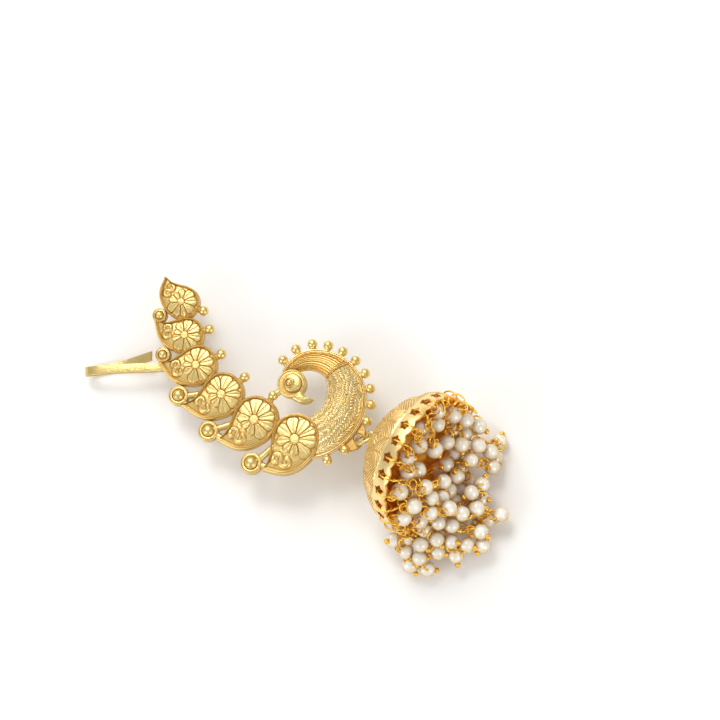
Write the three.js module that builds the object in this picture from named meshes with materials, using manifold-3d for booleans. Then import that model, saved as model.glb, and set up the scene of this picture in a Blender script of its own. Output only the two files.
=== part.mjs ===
// A peacock ear cuff with a bell drop full of small pearls.
//
// The front is one casting: six mango-shaped plaques in an arc, beads on their
// edges, and a peacock whose body, neck and head curl round at the lower end.
// A flat hook grips the rim of the ear and a hidden post goes through the lobe.
// A jump ring carries the bell, and pearls hang in bunches from its rim.
//
// Lengths are millimetres. The front is drawn in its own flat frame, with u to
// the right, v up and h towards the viewer, and the post stands at its origin.
// The bell is drawn in a frame of its own at the middle of its mouth, with x
// sideways, y up and z out of the mouth. Both are then laid down: the hook, the
// post, the bell and the pearls rest on the ground.

import * as THREE from 'three';
import { mergeVertices } from 'three/addons/utils/BufferGeometryUtils.js';
import Module from 'manifold-3d';

const wasm = await Module();
wasm.setup();

const { Vector3 } = THREE;
const radians = THREE.MathUtils.degToRad;

// ---------------------------------------------------------------- sizes

const GAP = 0.3; // clearance between pieces that touch
const SMALLEST_EDGE = 0.01;

const FRONT_TILT = radians(4.5); // the post end lies higher than the hook end
const POST_LENGTH = 9.6;
const POST_RADIUS = 0.45;
const POST_PAD = { radius: 1.4, thickness: 0.5 };

const WALL_HEIGHT = 1.9; // rim of a plaque above its back
const FIELD_DEPTH = 0.45; // edge of a plaque's field below its rim
const FIELD_RISE = 0.7;
const OUTLINE_STEPS = 16;
const PETAL_RISE = 0.2;
const BOSS_RADIUS = 0.6;

const BEAD_REACH = 1.28; // centre of a plaque's bead beyond its belly
const BEAD_RADIUS = 0.97;
const GRAIN_REACH = 1.05; // centre of a body bead beyond the body's edge
const GRAIN_RADIUS = 0.88;
const BEAD_LEVEL = 0.95;
const PEG_RADIUS = 0.5;
const BRACE_RADIUS = 0.4;

const HOOK_WIDTH = 2.0;
const HOOK_THICKNESS = 0.6;
const HOOK_ROOT = { u: -42.4, v: -2.5, heading: 205 };

const RING_WIRE = 0.75;
const TAB_THICKNESS = 0.6;
const TAB_HOLE = { u: 4.45, v: -0.15, radius: 1.05 };
const RING_SEAT = { u: 4.3, v: -0.35 }; // where the ring passes through the tab's hole

const BELL_RADIUS = 15;
const BELL_HEIGHT = 12.6;
const BELL_WALL = 0.7;
const BELL_SWELL = 0.6; // exponent of the dome's curve, 0.5 for a half ellipse
const MOUTH = new Vector3(20.7, 0.1, 15.61); // middle of the mouth, from the post's foot
const MOUTH_AXIS = new Vector3(0.971, -0.068, 0.231).normalize();
const LOOP_RADIUS = 1.15;
const LOOP_WIRE = 0.7;
const LOOP_OUT = 1.25; // centre of the loop above the apex

const STARS = 24; // pierced stars, and as many scallops and sides
const STAR_LEVEL = 2.0; // up from the rim
const STAR_RADIUS = 1.0;
const STAR_WAIST = 0.55;
const SCALLOP = 0.55;

const PEARL_RADIUS = 1.45;
const THREAD = 0.42; // thickness of a wire between pearls
const EYE = { tall: 1.6, wide: 1.2, level: 0.6 }; // wire eye through a star and round the rim

const GOLD = new THREE.Color('#d9b45f');
const DEEP_GOLD = new THREE.Color('#c9952f');
const PEARL_WHITE = new THREE.Color('#dedad4');

// The plaques, from the tip of the cuff down to the peacock: middle and radius
// of the round belly, heading of the tail, length of the tail in radii, and
// heading of the bead on the inner edge.
const PLAQUES = [
  { u: -42.45, v: 12.15, radius: 3.85, heading: 146, tail: 1.78, bead: 1 },
  { u: -38.8, v: 5.95, radius: 4.1, heading: 176, tail: 1.86, bead: 37 },
  { u: -33.9, v: 1.0, radius: 4.5, heading: 197, tail: 1.82, bead: 47 },
  { u: -26.25, v: -2.65, radius: 4.85, heading: 217, tail: 1.86, bead: 61 },
  { u: -17.5, v: -4.95, radius: 5.2, heading: 231, tail: 1.74, bead: 77 },
  { u: -7.75, v: -5.5, radius: 5.55, heading: 246, tail: 1.72, bead: null },
];

// Outline of a plaque in units of its belly radius, with the tail towards +x.
const MANGO = [
  { x: 1.3, y: -0.13 },
  { x: 0.92, y: -0.42 },
  { x: 0.5, y: -0.77 },
  { x: 0.0, y: -0.98 },
  { x: -0.52, y: -0.86 },
  { x: -0.89, y: -0.46 },
  { x: -1.0, y: 0.03 },
  { x: -0.82, y: 0.53 },
  { x: -0.4, y: 0.87 },
  { x: 0.15, y: 1.0 },
  { x: 0.75, y: 0.95 },
  { x: 1.25, y: 0.68 },
];

// The scaled outlines that make a plaque's wall and field, from its back up.
// In the field every second point stands out as a petal and the rest sink in.
const PLAQUE_RINGS = [
  { scale: 1, height: 0, petal: 0 },
  { scale: 1, height: WALL_HEIGHT - 0.4, petal: 0 },
  { scale: 0.95, height: WALL_HEIGHT, petal: 0 },
  { scale: 0.87, height: WALL_HEIGHT, petal: 0 },
  { scale: 0.83, height: WALL_HEIGHT - FIELD_DEPTH, petal: 0 },
  { scale: 0.68, height: WALL_HEIGHT - FIELD_DEPTH + 0.5 * FIELD_RISE, petal: 1 },
  { scale: 0.35, height: WALL_HEIGHT - FIELD_DEPTH + FIELD_RISE, petal: 1 },
  { scale: 0.16, height: WALL_HEIGHT - FIELD_DEPTH + 0.8 * FIELD_RISE, petal: 0 },
];

// A stud stands where each tail ends: a bead in a ring.
const STUDS = [
  { u: -45.65, v: 7.8, ring: 1.45, bead: 0.88 },
  { u: -41.5, v: 0.4, ring: 1.55, bead: 0.92 },
  { u: -34.75, v: -6.25, ring: 2.05, bead: 1.4 },
  { u: -25.7, v: -10.75, ring: 2.1, bead: 1.45 },
  { u: -14.35, v: -13.55, ring: 2.2, bead: 1.6 },
];

// Short bars that brace the three largest studs to the plaque beside them.
const BRACES = [
  { from: { u: -33.2, v: -5.7 }, to: { u: -31.0, v: -4.4 } },
  { from: { u: -24.9, v: -10.1 }, to: { u: -21.8, v: -7.6 } },
  { from: { u: -13.4, v: -12.6 }, to: { u: -11.4, v: -8.4 } },
];

// The peacock curls round this point. For a heading from it, a row gives the
// inner and outer edge of the body and how far its back stands out.
const CURL = { u: -9, v: 5.5 };
const BODY = [
  { heading: -80, inner: 6.4, outer: 14.4, rise: 0.8 },
  { heading: -60, inner: 5.5, outer: 14.7, rise: 1.3 },
  { heading: -37, inner: 4.8, outer: 13.9, rise: 2.2 },
  { heading: -7, inner: 3.8, outer: 12.9, rise: 2.6 },
  { heading: 23, inner: 3.6, outer: 11.55, rise: 2.5 },
  { heading: 56, inner: 3.75, outer: 10.05, rise: 2.1 },
  { heading: 93, inner: 3.85, outer: 9.0, rise: 1.6 },
  { heading: 135, inner: 4.4, outer: 8.35, rise: 1.2 },
  { heading: 168, inner: 5.2, outer: 7.6, rise: 1.0 },
  { heading: 186, inner: 5.7, outer: 6.9, rise: 0.8 },
];
const BODY_STEPS = 20;
const BODY_EDGE = 0.6; // height of the body's thin edge
const BACK_POINTS = 8; // points across its back
const NECK_FROM = 62; // heading where the ribbed neck starts
const RIB = 0.22;
const GRAINS = [157, 135, 113, 93, 74, 56, 39, 23, 8, -7, -37, -53];

const HEAD = { u: -13.2, v: 5.0, radius: 3.0, eye: 0.85 };
const BEAK = [
  { u: -12.2, v: 2.3 },
  { u: -10.3, v: 1.95 },
  { u: -9.0, v: 2.2 },
  { u: -8.1, v: 2.95 },
  { u: -7.8, v: 3.75 },
  { u: -9.0, v: 3.6 },
  { u: -10.0, v: 3.9 },
  { u: -11.2, v: 4.6 },
];

// The flat tab behind the body that holds the jump ring, round the same point.
const TAB = [
  { heading: -44, distance: 12.0 },
  { heading: -42, distance: 14.4 },
  { heading: -33, distance: 15.8 },
  { heading: -27, distance: 16.2 },
  { heading: -21, distance: 15.9 },
  { heading: -17, distance: 15.1 },
  { heading: -12, distance: 14.0 },
  { heading: -12, distance: 12.0 },
];

// The hook's route: distance along its heading, sideways drift, and height.
const HOOK_ROUTE = [
  { along: -3.2, aside: 0, height: -0.65 },
  { along: 0.5, aside: 0, height: -0.65 },
  { along: 4.5, aside: 0, height: 0.0 },
  { along: 9.0, aside: 0, height: 0.15 },
  { along: 13.0, aside: 0, height: -0.35 },
  { along: 14.9, aside: 0.15, height: -1.5 },
  { along: 15.2, aside: 0.4, height: -3.0 },
  { along: 14.0, aside: 0.8, height: -4.5 },
  { along: 11.0, aside: 1.3, height: -5.15 },
  { along: 7.5, aside: 1.9, height: -4.85 },
  { along: 4.0, aside: 2.5, height: -3.6 },
  { along: 1.2, aside: 2.9, height: -2.2 },
];

// The bunches of pearls: the star each hangs from, counted anticlockwise from
// the side of the bell, and where its pearls lie, in the mouth's frame.
const BUNCHES = [
  { star: 0, pearls: [[11.5, -0.5, 0], [6, -2, 1]] },
  { star: 1, pearls: [[8, 4.5, 0]] },
  { star: 2, pearls: [[10, 6.5, -0.2]] },
  { star: 3, pearls: [[5.5, 6, -2]] },
  { star: 4, pearls: [[3, 2, 1]] },
  { star: 5, pearls: [[2, 6.5, -0.5]] },
  { star: 6, pearls: [[-2, 9.5, 0]] },
  { star: 7, pearls: [[-4, 7.5, 0.5], [-2.5, 3.5, 0.5]] },
  { star: 8, pearls: [[-5, 3.5, 4], [-2, -3.5, 4]] },
  { star: 9, pearls: [[-8.5, 7.5, 1], [-6.5, 0.5, 5], [-4.5, -4, 5]] },
  { star: 10, pearls: [[-9.5, 3.5, 3.5], [-8.5, -1, 5.5], [-6, -3.5, 7.5]] },
  { star: 11, pearls: [[-12.5, 2, 2], [-11, -3.5, 3], [-9.5, -7, 5.5]] },
  { star: 12, pearls: [[-12.5, -7.5, 3.5], [-12.5, -9.5, 6]] },
  { star: 13, pearls: [[-15, -9, 0], [-16.5, -8.5, -2], [-17.5, -11, 0.5], [-20, -13.5, 1.5]] },
  { star: 14, pearls: [[-14.5, -8.5, 3.5], [-14.5, -12.5, 6], [-17.5, -11.5, 3.5], [-18.5, -14, 5]] },
  { star: 15, pearls: [[-11.5, -11.5, 8], [-13.5, -14, 9.5], [-10.5, -13.5, 11]] },
  { star: 16, pearls: [[-8.5, -9.5, 7.5], [-7, -13, 12.5], [-9, -15, 13]] },
  { star: 17, pearls: [[-3, -11, 10], [-3.5, -15.5, 11.5], [-1.5, -15, 14], [-5.5, -9, 8.5]] },
  { star: 18, pearls: [[-0.5, -14, 8.5], [2, -11, 8.5]] },
  { star: 19, pearls: [[3.5, -10.5, 2.5], [2.5, -7, 1], [5, -8, 1]] },
  { star: 20, pearls: [[5.5, -8, 5], [6.5, -13.5, 7.5], [9, -16, 6.1]] },
  { star: 21, pearls: [[9, -11.5, 6.5], [12, -16, 5.4], [8.5, -8, 5]] },
  { star: 22, pearls: [[12, -7.5, 3], [10, -7, 1.5]] },
  { star: 23, pearls: [[12, -4, 1.5], [9, -4.5, 0], [7, -4.5, 3]] },
];

// -------------------------------------------------------------- helpers

// A geometry as a solid.
function solid(geometry) {
  const bare = new THREE.BufferGeometry();
  bare.setAttribute('position', geometry.getAttribute('position'));
  bare.setIndex(geometry.index);
  const merged = mergeVertices(bare, 1e-4);
  const corners = [];
  for (let i = 0; i < merged.index.count; i += 3) {
    const [a, b, c] = merged.index.array.slice(i, i + 3);
    if (a !== b && b !== c && c !== a) {
      corners.push(a, b, c);
    }
  }
  return new wasm.Manifold(new wasm.Mesh({
    numProp: 3,
    vertProperties: Float32Array.from(merged.attributes.position.array),
    triVerts: Uint32Array.from(corners),
  }));
}

function union(shapes) {
  return wasm.Manifold.union(shapes);
}

// A solid as a named mesh.
function piece(name, shape, color, roughness, metalness) {
  const mesh = shape.simplify(SMALLEST_EDGE).getMesh();
  const geometry = new THREE.BufferGeometry();
  geometry.setAttribute('position', new THREE.BufferAttribute(mesh.vertProperties, 3));
  geometry.setIndex(new THREE.BufferAttribute(mesh.triVerts, 1));
  geometry.computeVertexNormals();
  const material = new THREE.MeshStandardMaterial({ color, roughness, metalness });
  const made = new THREE.Mesh(geometry, material);
  made.name = name;
  return made;
}

// A solid through rings of equally many points, closed at both ends. Seen from
// the last ring's side, the points of a ring go anticlockwise.
function loft(rings) {
  const around = rings[0].length;
  const points = rings.flat();
  const faces = [];
  for (let i = 0; i + 1 < rings.length; i += 1) {
    for (let j = 0; j < around; j += 1) {
      const a = i * around + j;
      const b = i * around + ((j + 1) % around);
      faces.push(a, b, b + around, a, b + around, a + around);
    }
  }
  for (const [ring, start] of [[rings[0], 0], [rings.at(-1), points.length - around]]) {
    const middle = ring.reduce((sum, point) => sum.add(point), new Vector3());
    const hub = points.push(middle.divideScalar(around)) - 1;
    for (let j = 0; j < around; j += 1) {
      const a = start + j;
      const b = start + ((j + 1) % around);
      faces.push(hub, start ? a : b, start ? b : a);
    }
  }
  const geometry = new THREE.BufferGeometry().setFromPoints(points);
  geometry.setIndex(faces);
  return solid(geometry);
}

// A prism over a flat outline, from one height to another.
function prism(outline, low, high) {
  const shape = new THREE.Shape(outline.map((point) => new THREE.Vector2(point.x, point.y)));
  const geometry = new THREE.ExtrudeGeometry(shape, { depth: high - low, bevelEnabled: false });
  return solid(geometry.translate(0, 0, low));
}

// A round bar between two points.
function bar(from, to, radius, sides) {
  const length = from.distanceTo(to);
  const geometry = new THREE.CylinderGeometry(radius, radius, length, sides);
  const along = to.clone().sub(from).normalize();
  geometry.applyQuaternion(new THREE.Quaternion().setFromUnitVectors(new Vector3(0, 1, 0), along));
  const middle = from.clone().lerp(to, 0.5);
  return solid(geometry.translate(middle.x, middle.y, middle.z));
}

// A ball with its poles at the top and bottom.
function ball(centre, radius, around, tiers) {
  const geometry = new THREE.SphereGeometry(radius, around, tiers).rotateX(Math.PI / 2);
  return solid(geometry.translate(centre.x, centre.y, centre.z));
}

// A shape turned round an upright axis, from a profile of distance and height
// that starts and ends on the axis.
function turned(profile, sides, centre) {
  const points = profile.map(([distance, height]) => new THREE.Vector2(distance, height));
  const geometry = new THREE.LatheGeometry(points, sides).rotateX(Math.PI / 2);
  return solid(geometry.translate(centre.x, centre.y, centre.z ?? 0));
}

// A ring of round wire in the plane of two directions.
function hoop(centre, along, across, radius, wire, sides, steps) {
  const geometry = new THREE.TorusGeometry(radius, wire / 2, sides, steps);
  const normal = along.clone().cross(across).normalize();
  const second = normal.clone().cross(along);
  const frame = new THREE.Matrix4().makeBasis(along, second, normal).setPosition(centre);
  return solid(geometry.applyMatrix4(frame));
}

// The point at a heading and distance from another, on the front.
function polar(centre, heading, distance, height = 0) {
  const angle = radians(heading);
  const u = (centre.u ?? centre.x) + distance * Math.cos(angle);
  const v = (centre.v ?? centre.y) + distance * Math.sin(angle);
  return new Vector3(u, v, height);
}

function on(row, height = 0) {
  return new Vector3(row.u, row.v, height);
}

// ---------------------------------------------------------------- front

// The outline of a plaque, anticlockwise.
function mangoOutline(row, scale = 1) {
  const tip = { x: row.tail, y: 0 };
  const points = [tip, ...MANGO, tip].map((point) => new Vector3(point.x, point.y, 0));
  const curve = new THREE.CatmullRomCurve3(points);
  const outline = curve.getSpacedPoints(OUTLINE_STEPS).slice(0, -1).reverse();
  const turn = new THREE.Matrix4().makeRotationZ(radians(row.heading));
  turn.scale(new Vector3(scale * row.radius, scale * row.radius, 1)).setPosition(row.u, row.v, 0);
  return outline.map((point) => point.applyMatrix4(turn));
}

// A plaque: a bevelled wall and a domed field of petals round a boss.
function plaque(row) {
  const outline = mangoOutline(row);
  const heart = on(row);
  const rings = PLAQUE_RINGS.map(({ scale, height, petal }) => outline.map((point, index) => {
    const relief = petal * (index % 2 ? PETAL_RISE : -PETAL_RISE);
    return heart.clone().lerp(point, scale).setZ(height + relief);
  }));
  const crown = heart.clone().setZ(WALL_HEIGHT - FIELD_DEPTH + FIELD_RISE);
  return loft(rings).add(ball(crown, BOSS_RADIUS, 6, 3));
}

// A bead on a short peg that starts inside the casting.
function beadOnPeg(centre, radius, root) {
  return union([
    ball(centre, radius, 7, 4),
    bar(root, centre, PEG_RADIUS, 4),
  ]);
}

function stud({ u, v, ring, bead }) {
  const profile = [
    [0, 0],
    [ring, 0],
    [ring, 1.5],
    [ring - 0.2, 1.8],
    [ring - 0.4, 1.8],
    [Math.min(bead, ring - 0.5), 1.35],
    [0.9 * bead, 1.35 + 0.45 * bead],
    [0.55 * bead, 1.35 + 0.85 * bead],
    [0, 1.35 + bead],
  ];
  return turned(profile, 10, { x: u, y: v });
}

// The body's inner edge, outer edge and rise at any heading.
function bodyCurves() {
  const at = (key) => {
    const points = BODY.map((row) => new THREE.Vector2(row.heading, row[key]));
    return new THREE.SplineCurve(points);
  };
  return { inner: at('inner'), outer: at('outer'), rise: at('rise') };
}

function bodyAt(t) {
  const curves = bodyCurves();
  const { x: heading, y: inner } = curves.inner.getPoint(t);
  return { heading, inner, outer: curves.outer.getPoint(t).y, rise: curves.rise.getPoint(t).y };
}

// One slice of the peacock's body, from its inner edge over its back.
function bodySlice(index) {
  const { heading, inner, outer, rise } = bodyAt(index / BODY_STEPS);
  const back = outer - 0.75;
  const points = [[inner + 0.15, 0], [inner, 0.5]];
  for (let i = 0; i < BACK_POINTS; i += 1) {
    const across = i / (BACK_POINTS - 1);
    const neck = heading > NECK_FROM && i > 0 && i < BACK_POINTS - 1;
    const rib = neck ? RIB * (i % 2 ? 1 : -0.5) : 0;
    const height = BODY_EDGE + rise * Math.sin(Math.PI * (0.08 + 0.84 * across)) + rib;
    points.push([THREE.MathUtils.lerp(inner + 0.1, back, across), height]);
  }
  points.push([outer - 0.55, 1.35], [outer - 0.1, 1.35], [outer, 0.9], [outer - 0.1, 0]);
  return points.map(([distance, height]) => polar(CURL, heading, distance, height));
}

function peacockBody() {
  const slices = [];
  for (let i = 0; i <= BODY_STEPS; i += 1) {
    slices.push(bodySlice(i));
  }
  return loft(slices);
}

function outerEdge(heading) {
  let best = bodyAt(0);
  for (let i = 1; i <= 200; i += 1) {
    const here = bodyAt(i / 200);
    if (Math.abs(here.heading - heading) < Math.abs(best.heading - heading)) {
      best = here;
    }
  }
  return best.outer;
}

function peacockHead() {
  const { radius, eye } = HEAD;
  const profile = [
    [0, 0],
    [radius, 0],
    [radius + 0.05, 1.6],
    [radius - 0.15, 2.1],
    [radius - 0.55, 2.2],
    [radius - 0.75, 1.9],
    [radius - 0.85, 2.6],
    [radius - 1.3, 3.3],
    [1, 3.7],
    [0, 3.8],
  ];
  const eyeSeat = polar(HEAD, 156, 1.0, 3.75);
  return union([
    turned(profile, 16, on(HEAD)),
    ball(eyeSeat, eye, 7, 4),
    prism(BEAK.map((row) => on(row)), 0.3, 1.9),
  ]);
}

function ringTab() {
  const plate = prism(TAB.map(({ heading, distance }) => polar(CURL, heading, distance)), 0, TAB_THICKNESS);
  const hole = on(TAB_HOLE);
  return plate.subtract(bar(hole.clone().setZ(-1), hole.clone().setZ(2), TAB_HOLE.radius, 16));
}

function cuffFront() {
  const roomFor = (spot) => prism(mangoOutline(spot, 0.98), -1, 9);
  const headRoom = bar(on(HEAD, -1), on(HEAD, 9), HEAD.radius - 0.1, 16);
  let casting = peacockBody();
  casting = casting.subtract(roomFor(PLAQUES.at(-1))).subtract(headRoom);
  let row = null;
  for (const next of PLAQUES) {
    row = row ? row.subtract(roomFor(next)).add(plaque(next)) : plaque(next);
  }
  casting = casting.add(row);
  for (const spot of STUDS) {
    const room = bar(on(spot, -1), on(spot, 9), spot.ring - 0.1, 10);
    casting = casting.subtract(room).add(stud(spot));
  }
  const extras = [peacockHead(), ringTab()];
  for (const spot of PLAQUES) {
    if (spot.bead !== null) {
      const centre = polar(spot, spot.bead, spot.radius + BEAD_REACH, BEAD_LEVEL);
      extras.push(beadOnPeg(centre, BEAD_RADIUS, polar(spot, spot.bead, spot.radius - 0.8, BEAD_LEVEL)));
    }
  }
  for (const heading of GRAINS) {
    const edge = outerEdge(heading);
    const centre = polar(CURL, heading, edge + GRAIN_REACH, BEAD_LEVEL);
    extras.push(beadOnPeg(centre, GRAIN_RADIUS, polar(CURL, heading, edge - 0.5, 0.7)));
  }
  for (const { from, to } of BRACES) {
    extras.push(bar(on(from, 0.9), on(to, 0.9), BRACE_RADIUS, 4));
  }
  const lower = PLAQUES[4];
  const bead = polar(lower, lower.bead, lower.radius + BEAD_REACH, BEAD_LEVEL);
  extras.push(bar(bead, polar(HEAD, 230, HEAD.radius - 0.4, BEAD_LEVEL), BRACE_RADIUS, 4));
  return casting.add(union(extras));
}

// ----------------------------------------------------------------- hook

function earHook() {
  const ahead = polar({ u: 0, v: 0 }, HOOK_ROOT.heading, 1);
  const aside = polar({ u: 0, v: 0 }, HOOK_ROOT.heading - 90, 1);
  const route = new THREE.CatmullRomCurve3(HOOK_ROUTE.map((row) => (
    on(HOOK_ROOT, row.height).addScaledVector(ahead, row.along).addScaledVector(aside, row.aside)
  )));
  const steps = 20;
  const slices = [];
  for (let i = 0; i <= steps; i += 1) {
    const centre = route.getPointAt(i / steps);
    const along = route.getTangentAt(i / steps);
    const half = along.clone().cross(aside).normalize().multiplyScalar(HOOK_THICKNESS / 2);
    const side = aside.clone().multiplyScalar(HOOK_WIDTH / 2);
    slices.push([
      centre.clone().sub(side).sub(half),
      centre.clone().add(side).sub(half),
      centre.clone().add(side).add(half),
      centre.clone().sub(side).add(half),
    ]);
  }
  return loft(slices);
}

// ----------------------------------------------------------------- bell

const SIDE = new Vector3(0, 0, 1).cross(MOUTH_AXIS).normalize();
const UP = MOUTH_AXIS.clone().cross(SIDE);
const MOUTH_FRAME = new THREE.Matrix4().makeBasis(SIDE, UP, MOUTH_AXIS).setPosition(MOUTH);

function fromMouth(x, y, z) {
  return new Vector3(x, y, z).applyMatrix4(MOUTH_FRAME);
}

// The dome's radius at a level above the rim, at a depth inside its surface.
function domeRadius(level, depth) {
  const part = Math.max(level, 0) / (BELL_HEIGHT - depth);
  return (BELL_RADIUS - depth) * (1 - part ** 2) ** BELL_SWELL;
}

// The heading of a star, or of the notch halfway to the next.
function starHeading(index) {
  const angle = (2 * Math.PI * index) / STARS;
  return new Vector3(Math.cos(angle), Math.sin(angle), 0);
}

function domeRing(level, depth) {
  const points = [];
  for (let i = 0; i < STARS; i += 1) {
    points.push(starHeading(i + 0.5).multiplyScalar(domeRadius(level, depth)).setZ(-level));
  }
  return points;
}

function starCut(index) {
  const star = [];
  for (let i = 0; i < 10; i += 1) {
    const reach = i % 2 ? STAR_WAIST : STAR_RADIUS;
    const angle = (Math.PI * i) / 5 + Math.PI / 2;
    star.push({ x: reach * Math.cos(angle), y: reach * Math.sin(angle) });
  }
  const up = new Vector3(0, 0, -1);
  const outward = starHeading(index);
  const frame = new THREE.Matrix4().makeBasis(up.clone().cross(outward), up, outward);
  frame.setPosition(0, 0, -STAR_LEVEL);
  return prism(star, BELL_RADIUS - 2, BELL_RADIUS + 1).transform(frame.elements);
}

// A notch in the rim between two stars.
function notchCut(index) {
  const outward = starHeading(index + 0.5);
  const [from, to] = [BELL_RADIUS - 2, BELL_RADIUS + 1].map((reach) => (
    outward.clone().multiplyScalar(reach).setZ(0.15)
  ));
  return bar(from, to, SCALLOP + 0.15, 4);
}

function bellDome(hole, across) {
  const levels = [12.3, 11, 9, 6.4, 3.2, 0];
  const outside = levels.map((level) => domeRing(level, 0));
  const inside = levels.slice(1).toReversed().map((level) => (
    domeRing((level * (BELL_HEIGHT - BELL_WALL)) / BELL_HEIGHT, BELL_WALL)
  ));
  const shell = loft([...outside, ...inside]);
  const cuts = [];
  for (let i = 0; i < STARS; i += 1) {
    cuts.push(starCut(i), notchCut(i));
  }
  const loop = hoop(hole, MOUTH_AXIS, across, LOOP_RADIUS, LOOP_WIRE, 6, 14);
  const apex = fromMouth(0, 0, -BELL_HEIGHT);
  const collar = bar(apex.clone().addScaledVector(MOUTH_AXIS, -0.1), fromMouth(0, 0, 0.6 - BELL_HEIGHT), 0.9, 10);
  return shell.subtract(union(cuts)).transform(MOUTH_FRAME.elements).add(loop).add(collar);
}

// --------------------------------------------------------------- pearls

// Every pearl where it comes to rest: off the ground, off the bell's rim and
// off its neighbours.
function restingPearls() {
  const pearls = BUNCHES.flatMap((row) => row.pearls.map(([x, y, z]) => fromMouth(x, y, z)));
  const toMouth = MOUTH_FRAME.clone().invert();
  for (let pass = 0; pass < 200; pass += 1) {
    for (const [i, pearl] of pearls.entries()) {
      for (const other of pearls.slice(i + 1)) {
        const apart = other.clone().sub(pearl);
        const short = 2 * PEARL_RADIUS + GAP - apart.length();
        if (short > 0) {
          apart.setLength(short / 2);
          other.add(apart);
          pearl.sub(apart);
        }
      }
      pearl.applyMatrix4(toMouth);
      const flat = new Vector3(pearl.x, pearl.y, 0);
      const wall = domeRadius(-pearl.z, BELL_WALL / 2);
      const away = new THREE.Vector2(flat.length() - wall, Math.max(pearl.z, 0));
      if (away.length() < PEARL_RADIUS + BELL_WALL / 2 + GAP) {
        away.setLength(PEARL_RADIUS + BELL_WALL / 2 + GAP);
        flat.setLength(wall + away.x);
        pearl.set(flat.x, flat.y, pearl.z > 0 ? away.y : pearl.z);
      }
      pearl.applyMatrix4(MOUTH_FRAME);
      pearl.z = Math.max(pearl.z, PEARL_RADIUS);
    }
  }
  return pearls;
}

// A wire eye through a star and round the rim, and its pearls strung in turn.
function pearlBunch({ star }, pearls) {
  const outward = starHeading(star);
  const wall = domeRadius(EYE.level, BELL_WALL / 2) * Math.cos(Math.PI / STARS);
  const eye = new THREE.TorusGeometry(EYE.wide, THREAD / 2, 3, 6);
  const corners = eye.getAttribute('position');
  for (let i = 0; i < corners.count; i += 1) {
    const stretch = (EYE.tall - EYE.wide) / Math.hypot(corners.getX(i), corners.getY(i));
    corners.setY(i, corners.getY(i) * (1 + stretch));
  }
  const side = outward.clone().cross(new Vector3(0, 0, 1));
  const frame = new THREE.Matrix4().makeBasis(outward, new Vector3(0, 0, 1), side);
  frame.setPosition(outward.clone().multiplyScalar(wall).setZ(-EYE.level)).premultiply(MOUTH_FRAME);
  const parts = [solid(eye.applyMatrix4(frame))];
  const aim = pearls[0].clone().applyMatrix4(frame.clone().invert()).setZ(0).normalize();
  aim.multiply(new Vector3(0.86 * EYE.wide, 0.86 * EYE.tall, 0));
  let from = aim.applyMatrix4(frame);
  for (const pearl of pearls) {
    parts.push(ball(pearl, PEARL_RADIUS, 6, 4));
    parts.push(bar(from, pearl, THREAD / 2, 3));
    from = pearl;
  }
  return union(parts);
}

// ------------------------------------------------------------- assembly

const LAID = new THREE.Matrix4().makeRotationY(-FRONT_TILT).setPosition(0, 0, POST_LENGTH);

function laid(shape) {
  return shape.transform(LAID.elements);
}

const tabHole = on(RING_SEAT, TAB_THICKNESS / 2).applyMatrix4(LAID);
const bellHole = fromMouth(0, 0, -BELL_HEIGHT - LOOP_OUT);
const reach = bellHole.clone().sub(tabHole);
const ringAcross = new Vector3(0.07, 0.56, -0.82);
ringAcross.addScaledVector(reach, -ringAcross.dot(reach) / reach.lengthSq()).normalize();
const loopAcross = MOUTH_AXIS.clone().cross(ringAcross).normalize();

const jumpRing = hoop(
  tabHole.clone().lerp(bellHole, 0.5),
  reach.clone().normalize(),
  ringAcross,
  reach.length() / 2,
  RING_WIRE,
  6,
  16,
);

const postTop = POST_LENGTH - GAP - 0.1;
const earPost = turned([
  [0, 0],
  [POST_RADIUS * 0.6, 0],
  [POST_RADIUS, 0.6],
  [POST_RADIUS, postTop - POST_PAD.thickness],
  [POST_PAD.radius, postTop - POST_PAD.thickness],
  [POST_PAD.radius, postTop],
  [0, postTop],
], 8, new Vector3());

const earring = new THREE.Group();
earring.add(piece('cuff_front', laid(cuffFront()), GOLD, 0.35, 1));
earring.add(piece('ear_hook', laid(earHook()), GOLD, 0.3, 1));
earring.add(piece('ear_post', earPost, GOLD, 0.3, 1));
earring.add(piece('jump_ring', jumpRing, DEEP_GOLD, 0.3, 1));
earring.add(piece('bell_dome', bellDome(bellHole, loopAcross), GOLD, 0.35, 1));

const pearls = restingPearls();
for (const [i, row] of BUNCHES.entries()) {
  const name = `pearl_bunch_${String(i + 1).padStart(2, '0')}`;
  const shape = pearlBunch(row, pearls.splice(0, row.pearls.length));
  earring.add(piece(name, shape, PEARL_WHITE, 0.3, 0));
}

// The origin is the middle of the footprint, on the ground.
const box = new THREE.Box3().setFromObject(earring);
const middle = box.getCenter(new Vector3()).setZ(box.min.z);
for (const mesh of earring.children) {
  mesh.geometry.translate(-middle.x, -middle.y, -middle.z);
}

export default earring;
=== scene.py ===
# %% [markdown]
# # A peacock ear cuff in cast gold, with a pearl bell
# The cuff is a piece of jewellery that follows the ear. A cast front carries six mango-shaped
# plaques, a row of studs and beads, and a curled peacock. A small dome, the bell, hangs from a
# ring behind the peacock, and strings of pearls fall out of its mouth. This lesson builds the
# looks over a plain solid model of the same object, which is loaded first and never moved.

# %% Load the solid model
import bpy
import bmesh
import math
import random
import numpy as np
from mathutils import Matrix, Vector


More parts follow.
